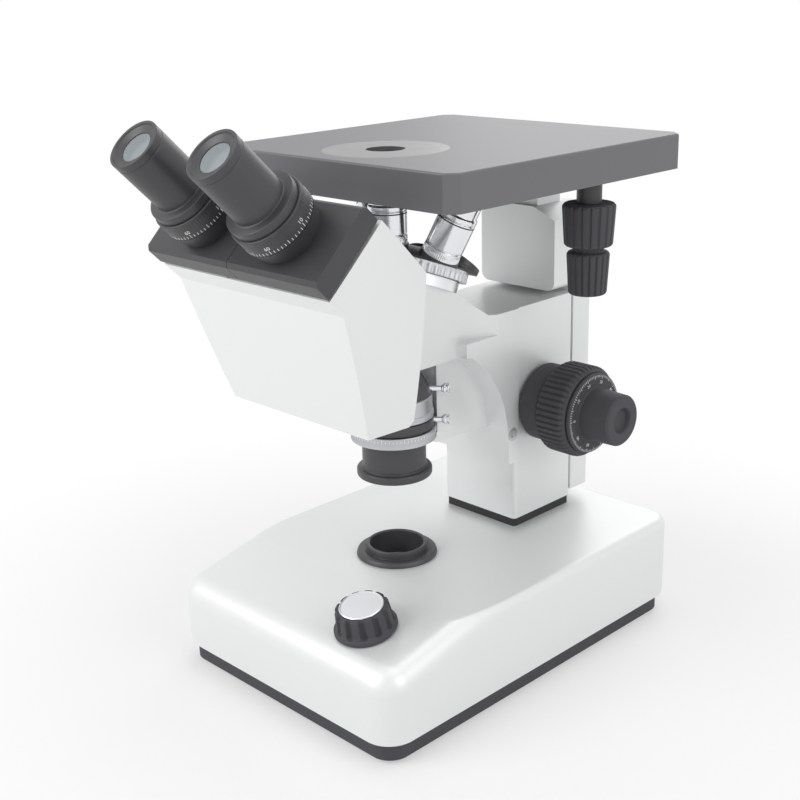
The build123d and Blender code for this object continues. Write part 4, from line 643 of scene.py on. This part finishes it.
WHITE = Finish(
    "white_enamel", (0.83, 0.835, 0.84), 0.34, coat=0.25, grain_scale=700.0,
    grain_height=0.000012, tint=0.02,
)
STAGE = Finish(
    "stage_enamel", (0.052, 0.053, 0.056), 0.36, coat=0.15, grain=Grain.CRINKLE, grain_scale=520.0,
    grain_height=0.00006, tint=0.25, spread=0.12,
)
# Smooth copy of the stage enamel for the insert. Its colour is made lighter as a painted sheen on the upward
# face.
STAGE_INSERT_SHEEN = Finish(
    "stage_enamel", (0.09, 0.091, 0.094), 0.3, coat=0.2, tint=0.1, label="stage_insert_sheen_enamel"
)
BLACK = Finish("black_enamel", (0.033, 0.034, 0.036), 0.3, coat=0.2, tint=0.15)
BLACK_SATIN = Finish("black_enamel", (0.05, 0.051, 0.054), 0.42, tint=0.15, label="black_satin_enamel")
PLASTIC = Finish(
    "black_plastic", (0.04, 0.041, 0.044), 0.44, grain=Grain.MOULD, grain_scale=1800.0,
    grain_height=0.00002, tint=0.15,
)
GREY = Finish("grey_enamel", (0.42, 0.43, 0.45), 0.38, metallic=0.35, tint=0.06)
KNURLED = Finish(
    "knurled_steel", (0.62, 0.63, 0.65), 0.28, metallic=1.0, grain=Grain.TURNED, grain_scale=1800.0,
    grain_height=0.00001,
)
CHROME = Finish(
    "polished_chrome", (0.78, 0.79, 0.81), 0.16, metallic=1.0, grain=Grain.TURNED, grain_scale=1400.0,
    grain_height=0.000008, spread=0.05,
)
SPUN = Finish(
    "spun_aluminium", (0.82, 0.83, 0.85), 0.32, metallic=1.0, grain=Grain.TURNED, grain_scale=2400.0,
    grain_height=0.00002,
)
STEEL = Finish("bright_steel", (0.6, 0.61, 0.63), 0.3, metallic=1.0)
BRASS = Finish("gear_brass", (0.72, 0.55, 0.24), 0.3, metallic=1.0)
RUBBER = Finish("black_rubber", (0.022, 0.022, 0.023), 0.75, specular=0.3, grain=Grain.MOULD, tint=0.2)
BOARD = Finish("board_green", (0.03, 0.2, 0.08), 0.35)
CERAMIC = Finish("lamp_ceramic", (0.8, 0.78, 0.72), 0.3)
PAINT = Finish(
    "white_enamel", (0.86, 0.86, 0.85), 0.5, grain=Grain.CLEAR, tint=0.0, label="scale_paint"
)
DARK_PAINT = Finish(
    "black_enamel", (0.03, 0.03, 0.03), 0.5, grain=Grain.CLEAR, tint=0.0, label="scale_dark_paint"
)
GLASS = Glass("coated_glass", (0.75, 0.8, 0.84), 0.05, grain=Grain.CLEAR, tint=0.0, spread=0.02)


def dress(finish: Finish, *names: str, axle: Axle | None = None) -> None:
    """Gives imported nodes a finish."""
    for name in names:
        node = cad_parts[name]
        node.data.materials.clear()
        node.data.materials.append(finish.material(axle))
        log.info("%s wears %s", name, finish.slot)


# ------------------------------------------------------------------ sub-assemblies


@dataclass
class BinocularHead:
    """The white head with its two sliding plates, focusing rings and eyepieces."""

    eye_x: float = 30.5
    ring_low: float = 22.95
    ring_high: float = 33.25
    ring_radius: float = 20.0
    flange_radius: float = 18.7
    flange_top: float = 38.3
    barrel_radius: float = 14.1
    barrel_top: float = 72.6
    tube_bore: float = 11.55
    cell_bore: float = 10.5
    lens_radius: float = 10.4
    rim_groove: float = 4.6
    ring_bore: float = 13.65
    knurl_count: int = 72
    scale_marks: int = 60
    numerals: int = 6
    numeral_size: float = 3.1
    tab_spot: tuple[float, float, float] = (0.0, -127.3, 243.2)

    def build(self) -> None:
        """Builds both eyepieces with their rings and dresses the plates and housing."""
        dress(WHITE, "head_housing")
        dress(BLACK_SATIN, "left_slide_plate", "right_slide_plate")
        dress(STEEL, "slide_guide")
        dress(BRASS, "spacing_pinion")
        dress(GLASS, "relay_prisms", "left_prism", "right_prism")
        for side in Side:
            label = side.name.lower()
            axle = HEAD.shifted(x=side.value * self.eye_x)
            self.eyepiece(label, axle)
            self.focus_ring(label, axle)
        self.plate_trim()

    def eyepiece(self, label: str, axle: Axle) -> None:
        """Turns one eyepiece: flange, barrel, rolled rim and the cone round its eye lens."""
        low, top, bore, cell = self.ring_low, self.barrel_top, self.tube_bore, self.cell_bore
        radius, flange, seat = self.barrel_radius, self.flange_radius, self.ring_high + 0.1
        groove = top - self.rim_groove
        corners = [
            (cell, low), (bore, low), (bore, seat), (flange, seat), (flange, self.flange_top - 0.4),
            (radius + 1.0, self.flange_top), (radius, self.flange_top + 0.3),
            (radius, groove), (radius - 0.3, groove + 0.2), (radius - 0.3, groove + 0.5),
            (radius, groove + 0.7), (radius, top), (radius - 1.4, top), (radius - 1.9, top - 0.9),
            (8.4, top - 2.2), (8.4, top - 2.9), (cell, top - 2.9),
        ]
        body, shape = f"{label}_eye", turned(corners, 0.35)
        make_piece(f"{label}_eyepiece_barrel", shape, axle, BLACK, body, f"{label}_eyepiece")
        wide = self.lens_radius
        lens = [
            (0.0, top - 7.0), (wide, top - 7.0), (wide, top - 3.0), (8.0, top - 2.6),
            (4.0, top - 3.3), (0.0, top - 3.6),
        ]
        field_lens = [(0.0, seat + 0.05), (wide, seat + 0.05), (wide, seat + 2.65), (0.0, seat + 3.85)]
        shape = joined([turned(outline, 0.4, closed=False) for outline in (lens, field_lens)])
        make_piece(f"{label}_eyepiece_glass", shape, axle, GLASS, body, f"{label}_eye_lenses")

    def focus_ring(self, label: str, axle: Axle) -> None:
        """Turns one focusing ring and lays its scale round the lower edge."""
        low, high, radius, bore = self.ring_low, self.ring_high, self.ring_radius, self.ring_bore
        grip = Grip(self.knurl_count, 0.22, high - 4.4, high - 0.8, cut=Cut.KNURL, outside=radius - 1)
        corners = [(bore, low), (radius, low), (radius, high - 0.3), (radius - 0.6, high), (bore, high)]
        shape = turned(corners, 0.4, self.knurl_count * 4, grips=(grip,))
        make_piece(
            f"{label}_focusing_ring", shape, axle, BLACK_SATIN, f"{label}_ring", f"{label}_focus_ring"
        )
        tall = long_every(self.scale_marks, 5, 2.2, 1.5)
        shapes = [rim_ticks(even_angles(self.scale_marks), radius, low + 0.7, tall, 0.34)]
        for index, angle in enumerate(even_angles(self.numerals)):
            number = numeral(str(10 * (index + 1)), self.numeral_size)
            shapes.append(wrapped(number, radius, angle, low + 4.4))
        make_piece(f"{label}_ring_scale", joined(shapes), axle, PAINT, f"{label}_ring")

    def plate_trim(self) -> None:
        """The pointed tab under the left plate."""
        outline = np.array(
            [[-17.0, 7.0], [-2.0, 7.0], [-2.0, 3.8], [-8.5, -1.6], [-10.5, -1.6], [-17.0, 4.8]]
        )
        axle = Axle(self.tab_spot, (0.0, -1.0, 0.0))
        make_piece("seam_tab", prism(outline, 2.0, 2.9), axle, BLACK_SATIN, "left_slide")


@dataclass
class Nosepiece:
    """The tilted turret: fluted bright ring, dark dome, three objectives and two plugs."""

    dome_bottom: float = 50.4
    ring_height: float = 6.2
    ring_radius: float = 30.0
    ring_bore: float = 26.0
    flutes: int = 46
    seat: float = 65.5
    length: float = 42.5
    barrel_radius: float = 10.6
    thread_radius: float = 8.4
    nose_radius: float = 6.0
    glass_radius: float = 4.0
    shoulder_share: float = 0.86
    knurl_count: int = 60

    def build(self) -> None:
        """Turns the ring and the objectives and dresses the rest."""
        dress(SPUN, "nosepiece_base", axle=TURRET)
        dress(BLACK, "turret_dome", "turret_plugs")
        low, high = self.dome_bottom, self.dome_bottom + self.ring_height
        grip = Grip(self.flutes, 0.85, low - 1.0, high - 1.2, share=0.62, outside=self.ring_radius - 1.5)
        corners = [
            (self.ring_bore, low), (self.ring_radius, low), (self.ring_radius, high - 0.2),
            (self.ring_radius - 0.4, high), (self.ring_bore, high),
        ]
        shape = turned(corners, 0.3, self.flutes * 8, grips=(grip,))
        make_piece("fluted_turret_ring", shape, TURRET, KNURLED, "turret", "turret_ring")
        for node, angle, body_share in (
            ("objective_low", 0.0, 0.50), ("objective_mid", 72.0, 0.60), ("objective_high", 288.0, 0.68)
        ):
            self.objective(node, objective_axis(angle), body_share)

    def objective(self, node: str, axle: Axle, body_share: float) -> None:
        """Turns one objective: threaded foot, knurled collar, stepped and banded barrel, coned nose.

        Args:
            node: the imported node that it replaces.
            axle: its axis.
            body_share: where its wide body ends, as a share of its length.
        """
        seat, radius, thread, nose = self.seat, self.barrel_radius, self.thread_radius, self.nose_radius
        body = seat + self.length * body_share
        shoulder = seat + self.length * self.shoulder_share
        tip = seat + self.length
        glass = self.glass_radius
        corners = [
            (glass, seat - 1.0), (thread, seat - 1.0), (thread, seat), (radius, seat), (radius, seat + 5.0),
            (radius - 0.5, seat + 5.3), (radius - 0.5, seat + 5.7), (radius, seat + 6.0),
            (radius, body - 3.2), (radius - 0.35, body - 3.0), (radius - 0.35, body - 2.6),
            (radius, body - 2.4), (radius, body - 0.4), (radius - 0.9, body + 0.5),
            (radius - 0.9, shoulder - 2.0), (nose + 0.6, shoulder + 0.7), (nose, shoulder + 1.2),
            (nose, tip - 0.8), (nose - 0.9, tip), (glass, tip),
        ]
        grip = Grip(self.knurl_count, 0.25, seat + 0.6, seat + 4.6, cut=Cut.KNURL, outside=radius - 0.6)
        shape = turned(corners, 0.25, self.knurl_count * 4, grips=(grip,))
        make_piece(f"{node}_barrel", shape, axle, CHROME, "turret", node)
        bands = []
        for inner, outer, low, high in (
            (radius - 0.2, radius + 0.04, body - 4.6, body - 3.9),
            (radius - 1.2, radius - 0.86, shoulder - 4.4, shoulder - 3.4),
        ):
            bands.append(turned([(inner, low), (outer, low), (outer, high), (inner, high)], 0.02))
        make_piece(f"{node}_bands", joined(bands), axle, DARK_PAINT, "turret")
        glass -= 0.02
        lens = [(0.0, tip - 2.6), (glass, tip - 2.6), (glass, tip - 0.8), (0.0, tip - 0.5)]
        make_piece(f"{node}_front_lens", turned(lens, 0.2, closed=False), axle, GLASS, "turret")


@dataclass
class Illuminator:
    """The vertical illuminator under the arm, with its two stop rings and four centring screws."""

    bottom: float = 111.0
    flange_radius: float = 21.5
    tube_radius: float = 18.2
    bore: float = 14.0
    field_bottom: float = 133.2
    field_radius: float = 24.3
    field_height: float = 6.4
    aperture_bottom: float = 145.6
    aperture_radius: float = 23.0
    aperture_height: float = 13.0
    carrier_radius: float = 19.4
    ring_bore: float = 19.45
    spigot_radius: float = 13.7
    spigot_top: float = 186.0
    screw_radius: float = 3.0
    scale_marks: int = 72

    def build(self) -> None:
        """Turns the tube, both rings and the screws."""
        self.tube()
        self.rings()
        dress(GLASS, "illuminator_lens")
        for body, height in (("field", 142.6), ("aperture", 161.0)):
            for side, angle in (("right", 45.0), ("left", 135.0)):
                self.screw(f"{body}_screw_{side}", f"{body}_centring_{side}", height, math.radians(angle))

    def tube(self) -> None:
        """The black tube from its foot flange to the cone under the arm."""
        low, flange, tube, carrier = self.bottom, self.flange_radius, self.tube_radius, self.carrier_radius
        foot, groove = low + 4.8, self.field_bottom + self.field_height + 0.3
        cone = self.aperture_bottom + self.aperture_height
        field_seat, aperture_seat = self.field_bottom - 0.3, self.aperture_bottom - 0.3
        spigot, spigot_top = self.spigot_radius, self.spigot_top
        corners = [
            (self.bore, low), (flange - 0.6, low), (flange, low + 0.8), (flange, foot - 0.9),
            (flange - 0.9, foot), (19.0, foot), (19.0, foot + 0.9), (tube, foot + 1.2),
            (tube, field_seat), (carrier, field_seat), (carrier, groove), (22.9, groove),
            (22.9, aperture_seat), (carrier, aperture_seat), (carrier, cone + 0.3), (22.4, cone + 0.3),
            (tube, cone + 8.0), (15.6, cone + 12.9), (spigot, cone + 12.9), (spigot, spigot_top),
            (10.0, spigot_top), (10.0, cone + 11.0), (self.bore, cone),
        ]
        shape = turned(corners, 0.35, 128)
        make_piece("illuminator_barrel", shape, BEAM, BLACK, "stand", "illuminator_tube")

    def rings(self) -> None:
        """The knurled field ring with its scale, and the plain aperture ring."""
        low, high, bore = self.field_bottom, self.field_bottom + self.field_height, self.ring_bore
        radius = self.field_radius
        grip = Grip(96, 0.35, low + 0.2, low + 3.4, cut=Cut.KNURL, outside=radius - 1)
        corners = [(bore, low), (radius, low), (radius, high - 0.2), (radius - 0.4, high), (bore, high)]
        shape = turned(corners, 0.3, grip.count * 4, grips=(grip,))
        make_piece("field_stop_ring", shape, BEAM, GREY, "field", "field_ring")
        tall = long_every(self.scale_marks, 6, 2.0, 1.3)
        scale = rim_ticks(even_angles(self.scale_marks), radius, low + 3.7, tall, 0.3)
        make_piece("field_ring_scale", scale, BEAM, PAINT, "field")
        low, high = self.aperture_bottom, self.aperture_bottom + self.aperture_height
        radius = self.aperture_radius
        grip = Grip(64, 0.3, low + 0.8, low + 3.2, cut=Cut.KNURL, outside=radius - 1)
        corners = [
            (bore, low), (radius - 0.6, low), (radius, low + 0.6), (radius, low + 3.6),
            (radius - 0.7, low + 4.2), (radius - 0.7, high - 0.8), (radius - 1.5, high), (bore, high),
        ]
        shape = turned(corners, 0.3, grip.count * 5, grips=(grip,))
        make_piece("aperture_stop_ring", shape, BEAM, GREY, "aperture", "aperture_ring")

    def screw(self, node: str, body: str, height: float, turn: float) -> None:
        """One bright centring screw with a waisted, knurled head."""
        out = (math.cos(turn), math.sin(turn), 0.0)
        axle = Axle((0.0, OPTICAL_Y, height), out, (0.0, 0.0, 1.0))
        radius, head, tip = self.screw_radius, 28.4, 31.9
        corners = [
            (0.0, self.bore), (1.8, self.bore), (1.8, head - 1.0), (2.4, head - 0.7), (2.4, head),
            (radius, head + 0.2), (radius, head + 1.5), (2.3, head + 1.8), (2.3, head + 2.2),
            (radius, head + 2.5), (radius, tip - 0.4), (2.5, tip), (0.0, tip),
        ]
        grip = Grip(20, 0.18, head, tip - 0.2, cut=Cut.KNURL, outside=2.6)
        shape = turned(corners, 0.15, grip.count * 6, closed=False, grips=(grip,))
        make_piece(f"{node}_thumb", shape, axle, CHROME, body, node)


@dataclass
class LampBase:
    """The white base with its black tray, light collector and brightness knob."""

    casing_top: float = 61.1
    flange_radius: float = 23.5
    collar_radius: float = 17.5
    bore: float = 15.6
    seat_radius: float = 14.1
    lens_radius: float = 15.5
    crown_radius: float = 32.0
    crown_points: int = 14
    knob_x: float = 46.0
    knob_distance: float = 27.5
    knob_radius: float = 17.2
    grip_radius: float = 15.4
    knob_top: float = 14.5
    cap_radius: float = 12.0

    def build(self) -> None:
        """Turns the collector and the knob and dresses the casing, tray and fittings."""
        dress(WHITE, "base_casing")
        dress(PLASTIC, "base_plate", "switch_frame", "power_inlet", "brightness_control", "power_switch")
        dress(RUBBER, "rubber_feet")
        dress(STEEL, "base_screws")
        dress(CERAMIC, "lamp")
        dress(BOARD, "power_board")
        self.collector()
        self.knob()

    def collector(self) -> None:
        """The flanged black collar and its crowned lens."""
        top, flange, collar, seat = self.casing_top, self.flange_radius, self.collar_radius, self.seat_radius
        corners = [
            (seat, top - 14.0), (collar, top - 14.0), (collar, top), (flange, top),
            (flange - 0.1, top + 1.1), (flange - 0.9, top + 2.9), (19.0, top + 3.1),
            (collar, top + 2.6), (collar, top + 6.6), (collar - 0.6, top + 7.0),
            (self.bore, top + 6.6), (self.bore, top - 9.0), (seat, top - 9.0),
        ]
        shape = turned(corners, 0.5, 128)
        make_piece("collector_collar", shape, BEAM, BLACK, "stand", "collector_ring")
        wide, curve = self.lens_radius, self.crown_radius
        turn = np.linspace(0.0, math.asin(wide / curve), self.crown_points)[::-1]
        height = top - 7.5 - curve * (math.cos(turn[0]) - np.cos(turn))
        crown = list(zip(curve * np.sin(turn), height))
        shape = turned([(0.0, top - 9.0), (wide, top - 9.0)] + crown, 0.2, closed=False)
        make_piece("collector_glass", shape, BEAM, GLASS, "stand", "collector_lens")

    def knob(self) -> None:
        """The scalloped knob on the slope and its spun cap."""
        axle = SLOPE.shifted(x=self.knob_x, y=-self.knob_distance)
        skirt, hand, top, cap = self.knob_radius, self.grip_radius, self.knob_top, self.cap_radius
        corners = [
            (0.0, -3.5), (3.0, -3.5), (3.0, 0.3), (skirt - 0.5, 0.3), (skirt, 0.9), (skirt, 2.5),
            (skirt - 1.0, 3.3), (hand + 0.5, 3.8), (hand, 4.6), (hand - 0.9, top - 1.0),
            (hand - 1.9, top), (0.0, top),
        ]
        grip = Grip(12, 2.0, 3.4, top + 3.0, share=0.5, cut=Cut.SCALLOP, outside=cap + 0.4)
        shape = turned(corners, 0.4, grip.count * 24, closed=False, grips=(grip,))
        make_piece("scalloped_knob", shape, axle, PLASTIC, "brightness", "brightness_knob")
        disc = [
            (0.0, top), (cap, top), (cap, top + 0.5), (cap - 0.5, top + 0.9), (cap - 1.0, top + 0.6),
            (0.0, top + 0.6),
        ]
        shape = turned(disc, 0.15, closed=False)
        make_piece("knob_cap", shape, axle, SPUN, "brightness", "brightness_cap")


@dataclass
class FocusDrive:
    """Coaxial coarse and fine knobs on both sides, with collars against the pillar."""

    collar_radius: float = 23.0
    coarse_radius: float = 27.0
    coarse_inner: float = 45.0
    coarse_outer: float = 65.3
    ribs: int = 48
    disc_radius: float = 23.7
    disc_inner: float = 65.8
    disc_outer: float = 68.3
    fine_radius: float = 15.5
    fine_outer: float = 88.1
    coarse_shaft: float = 6.1
    fine_shaft: float = 3.0
    divisions: int = 100
    numerals: int = 10
    numeral_size: float = 2.7

    def build(self) -> None:
        """Turns collars, coarse knobs, fine discs and fine knobs on both ends of the shaft."""
        dress(STEEL, "coarse_drive", "guide_rails", "focus_rack")
        for side in Side:
            axle, label = shaft(side), side.name.lower()
            first = side is Side.LEFT
            self.collar(label, axle, "focus_collars" if first else "")
            self.coarse(label, axle, "coarse_knobs" if first else "")
            self.fine(label, axle, "fine_knobs" if first else "")
            self.scale(label, axle)

    def collar(self, label: str, axle: Axle, node: str) -> None:
        """The smooth black collar between pillar and coarse knob."""
        radius, bore = self.collar_radius, self.coarse_shaft
        corners = [
            (bore, 28.4), (radius - 4, 28.4), (radius - 4, 30.4), (radius - 0.8, 30.4),
            (radius, 31.4), (radius, 42.8), (radius - 1.2, 44.0), (bore, 44.0),
        ]
        make_piece(f"{label}_collar", turned(corners, 0.6), axle, PLASTIC, "stand", node)

    def coarse(self, label: str, axle: Axle, node: str) -> None:
        """The ribbed coarse knob, bevelled at its outer edge."""
        radius, low, high = self.coarse_radius, self.coarse_inner, self.coarse_outer
        hub, bore = self.coarse_shaft, self.fine_shaft + 0.1
        corners = [
            (bore, high - 2.0), (hub, high - 2.0), (hub, low), (radius - 2.2, low),
            (radius, low + 1.8), (radius, high - 3.2), (radius - 2.4, high), (bore, high),
        ]
        grip = Grip(self.ribs, 1.0, low - 0.5, high - 1.2, share=0.46, outside=radius - 2.6)
        shape = turned(corners, 0.6, self.ribs * 8, grips=(grip,))
        make_piece(f"{label}_coarse_knob", shape, axle, PLASTIC, "coarse", node)

    def fine(self, label: str, axle: Axle, node: str) -> None:
        """The fine disc and its plain knob with a hollow in the end."""
        shaft_radius, disc, inner, outer = self.fine_shaft, self.disc_radius, self.disc_inner, self.disc_outer
        radius, end = self.fine_radius, self.fine_outer
        corners = [
            (0.0, 0.0), (shaft_radius, 0.0), (shaft_radius, inner), (disc - 0.4, inner),
            (disc, inner + 0.5), (disc, outer - 0.9), (disc - 0.8, outer), (radius + 0.6, outer),
            (radius, outer + 0.7), (radius - 0.5, end - 1.2), (radius - 1.6, end), (8.4, end),
            (7.6, end - 0.5), (6.6, end - 3.2), (0.0, end - 3.2),
        ]
        shape = turned(corners, 0.5, closed=False)
        make_piece(f"{label}_fine_knob", shape, axle, PLASTIC, "fine", node)

    def scale(self, label: str, axle: Axle) -> None:
        """A hundred divisions round the fine disc, numbered by tens."""
        inner = long_every(self.divisions, 5, 20.8, 21.6)
        shapes = [face_ticks(even_angles(self.divisions), inner, 22.8, self.disc_outer, 0.34)]
        for index, angle in enumerate(even_angles(self.numerals)):
            number = numeral(str(10 * index), self.numeral_size)
            shapes.append(on_face(number, 18.6, -angle, self.disc_outer))
        make_piece(f"{label}_fine_scale", joined(shapes), axle, PAINT, "fine")


@dataclass
class SpecimenStage:
    """The flat stage with its round insert and the two drive knobs under its right edge."""

    stem_bottom: float = 263.0
    upper_bottom: float = 239.6
    lower_top: float = 236.4
    lower_bottom: float = 213.1
    sleeve_top: float = 275.5
    shaft_top: float = 285.5
    shaft_radius: float = 2.0
    neck_radius: float = 8.5
    flutes: int = 18

    def build(self) -> None:
        """Dresses the plates and turns the drive knobs."""
        dress(STAGE, "stage_top")
        # The insert wears the lighter copy of the stage enamel, and its extra lightness is painted sheen.
        dress(STAGE_INSERT_SHEEN, "stage_insert")
        dress(BLACK_SATIN, "stage_base_plate", "cross_carriage")
        top, low, bore, sleeve = self.stem_bottom - 0.3, self.upper_bottom, self.shaft_radius + 0.1, 3.2
        corners = [
            (bore, low), (12.0, low), (13.2, low + 1.0), (14.5, top - 1.4), (13.4, top), (sleeve, top),
            (sleeve, self.sleeve_top), (bore, self.sleeve_top),
        ]
        shape = self.fluted(corners, low, top, 11.9, closed=True)
        make_piece("cross_drive_knob", shape, DRIVE, PLASTIC, "cross_drive", "cross_knob")
        top, low, neck, neck_top = self.lower_top, self.lower_bottom, self.neck_radius, low - 0.3
        corners = [
            (0.0, low), (9.6, low), (10.5, low + 1.0), (11.7, top - 1.2), (10.8, top),
            (neck, top + 0.2), (neck, neck_top), (self.shaft_radius, neck_top),
            (self.shaft_radius, self.shaft_top), (0.0, self.shaft_top),
        ]
        shape = self.fluted(corners, low, top, 9.4, closed=False)
        make_piece("long_drive_knob", shape, DRIVE, PLASTIC, "long_drive", "long_knob")

    def fluted(
        self, corners: list[tuple[float, float]], low: float, top: float, outside: float, closed: bool
    ) -> Shape:
        """A turned knob with this stage's flutes between its lower and upper edge."""
        grip = Grip(self.flutes, 0.9, low + 0.2, top - 0.4, share=0.4, outside=outside)
        return turned(corners, 0.6, self.flutes * 16, closed, (grip,))


class Stand:
    """The white castings that carry everything: pillar, arm and focusing slide."""

    def build(self) -> None:
        """Dresses the castings, their gasket and screws."""
        dress(WHITE, "pillar", "arm_casting", "focus_slide")
        dress(RUBBER, "pillar_gasket")
        dress(STEEL, "arm_screws")


# Studio


@dataclass
class Studio:
    """The camera at the photograph's angle, soft lights and a pale floor."""

    place: tuple[float, float, float] = (490.67, -501.15, 382.32)
    yaw: float = 45.77
    pitch: float = 18.51
    roll: float = -1.53
    lens: float = 57.56
    sensor: float = 36.0
    target: tuple[float, float, float] = (0.0, 0.0, 0.15)
    world_strength: float = 0.5
    floor_half: float = 6.0
    floor_white: tuple[float, float] = (0.16, 0.42)
    floor_start: float = 0.45
    lamps: tuple = (
        ("key", (-0.55, -1.3, 0.95), 0.9, 10.0),
        ("side", (1.5, 0.1, 0.9), 0.9, 5.0),
        ("top", (0.2, 0.2, 1.6), 1.2, 5.0),
        ("back", (-0.6, 1.2, 0.9), 0.9, 3.0),
    )

    def build(self) -> None:
        """Sets up camera, lights, world and floor."""
        self.camera()
        for name, place, size, power in self.lamps:
            self.lamp(name, place, size, power)
        self.world()
        self.floor()
        bpy.context.scene.view_settings.view_transform = "Standard"

    def camera(self) -> None:
        """The camera, whose axes come from yaw, pitch and roll."""
        yaw, pitch, roll = (math.radians(a) for a in (self.yaw, self.pitch, self.roll))
        back = Vector((math.sin(yaw) * math.cos(pitch), -math.cos(yaw) * math.cos(pitch), math.sin(pitch)))
        right = Vector((math.cos(yaw), math.sin(yaw), 0.0))
        up = back.cross(right)
        turned_right = right * math.cos(roll) + up * math.sin(roll)
        turned_up = up * math.cos(roll) - right * math.sin(roll)
        data = bpy.data.cameras.new("photo_camera")
        data.lens, data.sensor_width = self.lens, self.sensor
        camera = bpy.data.objects.new("photo_camera", data)
        turn = Matrix([turned_right, turned_up, back]).transposed().to_4x4()
        camera.matrix_world = Matrix.Translation(Vector(self.place) * MM) @ turn
        bpy.context.scene.collection.objects.link(camera)
        bpy.context.scene.camera = camera

    def lamp(self, name: str, place: tuple[float, float, float], size: float, power: float) -> None:
        """A square area lamp that points at the instrument's middle."""
        data = bpy.data.lights.new(name, "AREA")
        data.size, data.energy = size, power
        lamp = bpy.data.objects.new(name, data)
        lamp.location = place
        lamp.rotation_euler = (Vector(place) - Vector(self.target)).to_track_quat("Z", "Y").to_euler()
        bpy.context.scene.collection.objects.link(lamp)

    def seen(self, w: Wiring) -> bpy.types.NodeSocket:
        """Adds a factor of 1 for rays from the camera, in gloss and through glass, else 0."""
        path = w.node("ShaderNodeLightPath")
        direct = w.math("MAXIMUM", path.outputs["Is Camera Ray"], path.outputs["Is Transmission Ray"])
        return w.math("MAXIMUM", direct, path.outputs["Is Glossy Ray"])

    def world(self) -> None:
        """White to the camera, in gloss and through glass, and a soft grey as a light."""
        world = bpy.data.worlds.new("studio_world")
        bpy.context.scene.world = world
        world.use_nodes = True
        w = Wiring(world.node_tree)
        w.tree.nodes.clear()
        seen = self.seen(w)
        shade, white = w.node("ShaderNodeBackground"), w.node("ShaderNodeBackground")
        shade.inputs["Strength"].default_value = self.world_strength
        for background in (shade, white):
            background.inputs["Color"].default_value = (1.0, 1.0, 1.0, 1.0)
        mix = w.node("ShaderNodeMixShader")
        w.join(seen, mix.inputs[0])
        w.join(shade.outputs[0], mix.inputs[1])
        w.join(white.outputs[0], mix.inputs[2])
        w.join(mix.outputs[0], w.node("ShaderNodeOutputWorld").inputs[0])

    def floor(self) -> None:
        """A wide pale floor that keeps the shadow near the feet and goes plain white further out."""
        half, level = self.floor_half, FLOOR_Z * MM
        points = [(-half, -half, level), (half, -half, level), (half, half, level), (-half, half, level)]
        mesh = bpy.data.meshes.new("floor")
        mesh.from_pydata(points, [], [[0, 1, 2, 3]])
        made = bpy.data.materials.new("floor_paper")
        made.use_nodes = True
        w = Wiring(made.node_tree)
        shader = made.node_tree.nodes["Principled BSDF"]
        shader.inputs["Base Color"].default_value = (0.93, 0.93, 0.93, 1.0)
        shader.inputs["Roughness"].default_value = 0.9
        shader.inputs["Specular IOR Level"].default_value = 0.0
        distance = w.node("ShaderNodeVectorMath", operation="LENGTH")
        w.join(w.node("ShaderNodeTexCoord").outputs["Object"], distance.inputs[0])
        reach = w.node("ShaderNodeMapRange", interpolation_type="SMOOTHSTEP")
        reach.inputs["From Min"].default_value, reach.inputs["From Max"].default_value = self.floor_white
        reach.inputs["To Min"].default_value = self.floor_start
        w.join(distance.outputs["Value"], reach.inputs["Value"])
        seen = self.seen(w)
        white = w.node("ShaderNodeEmission")
        mix = w.node("ShaderNodeMixShader")
        w.join(w.math("MULTIPLY", seen, reach.outputs[0]), mix.inputs[0])
        w.join(shader.outputs[0], mix.inputs[1])
        w.join(white.outputs[0], mix.inputs[2])
        w.join(mix.outputs[0], made.node_tree.nodes["Material Output"].inputs["Surface"])
        mesh.materials.append(made)
        floor = bpy.data.objects.new("floor", mesh)
        bpy.context.scene.collection.objects.link(floor)


def main() -> None:
    """Builds each sub-assembly in order, logging each one as it is done."""
    logging.basicConfig(level=logging.INFO, format="%(name)s: %(message)s")
    for assembly in (
        LampBase(), Stand(), Illuminator(), Nosepiece(),
        BinocularHead(), FocusDrive(), SpecimenStage(), Studio(),
    ):
        assembly.build()
        log.info("%s is done", type(assembly).__name__)


if __name__ == "__main__":
    main()
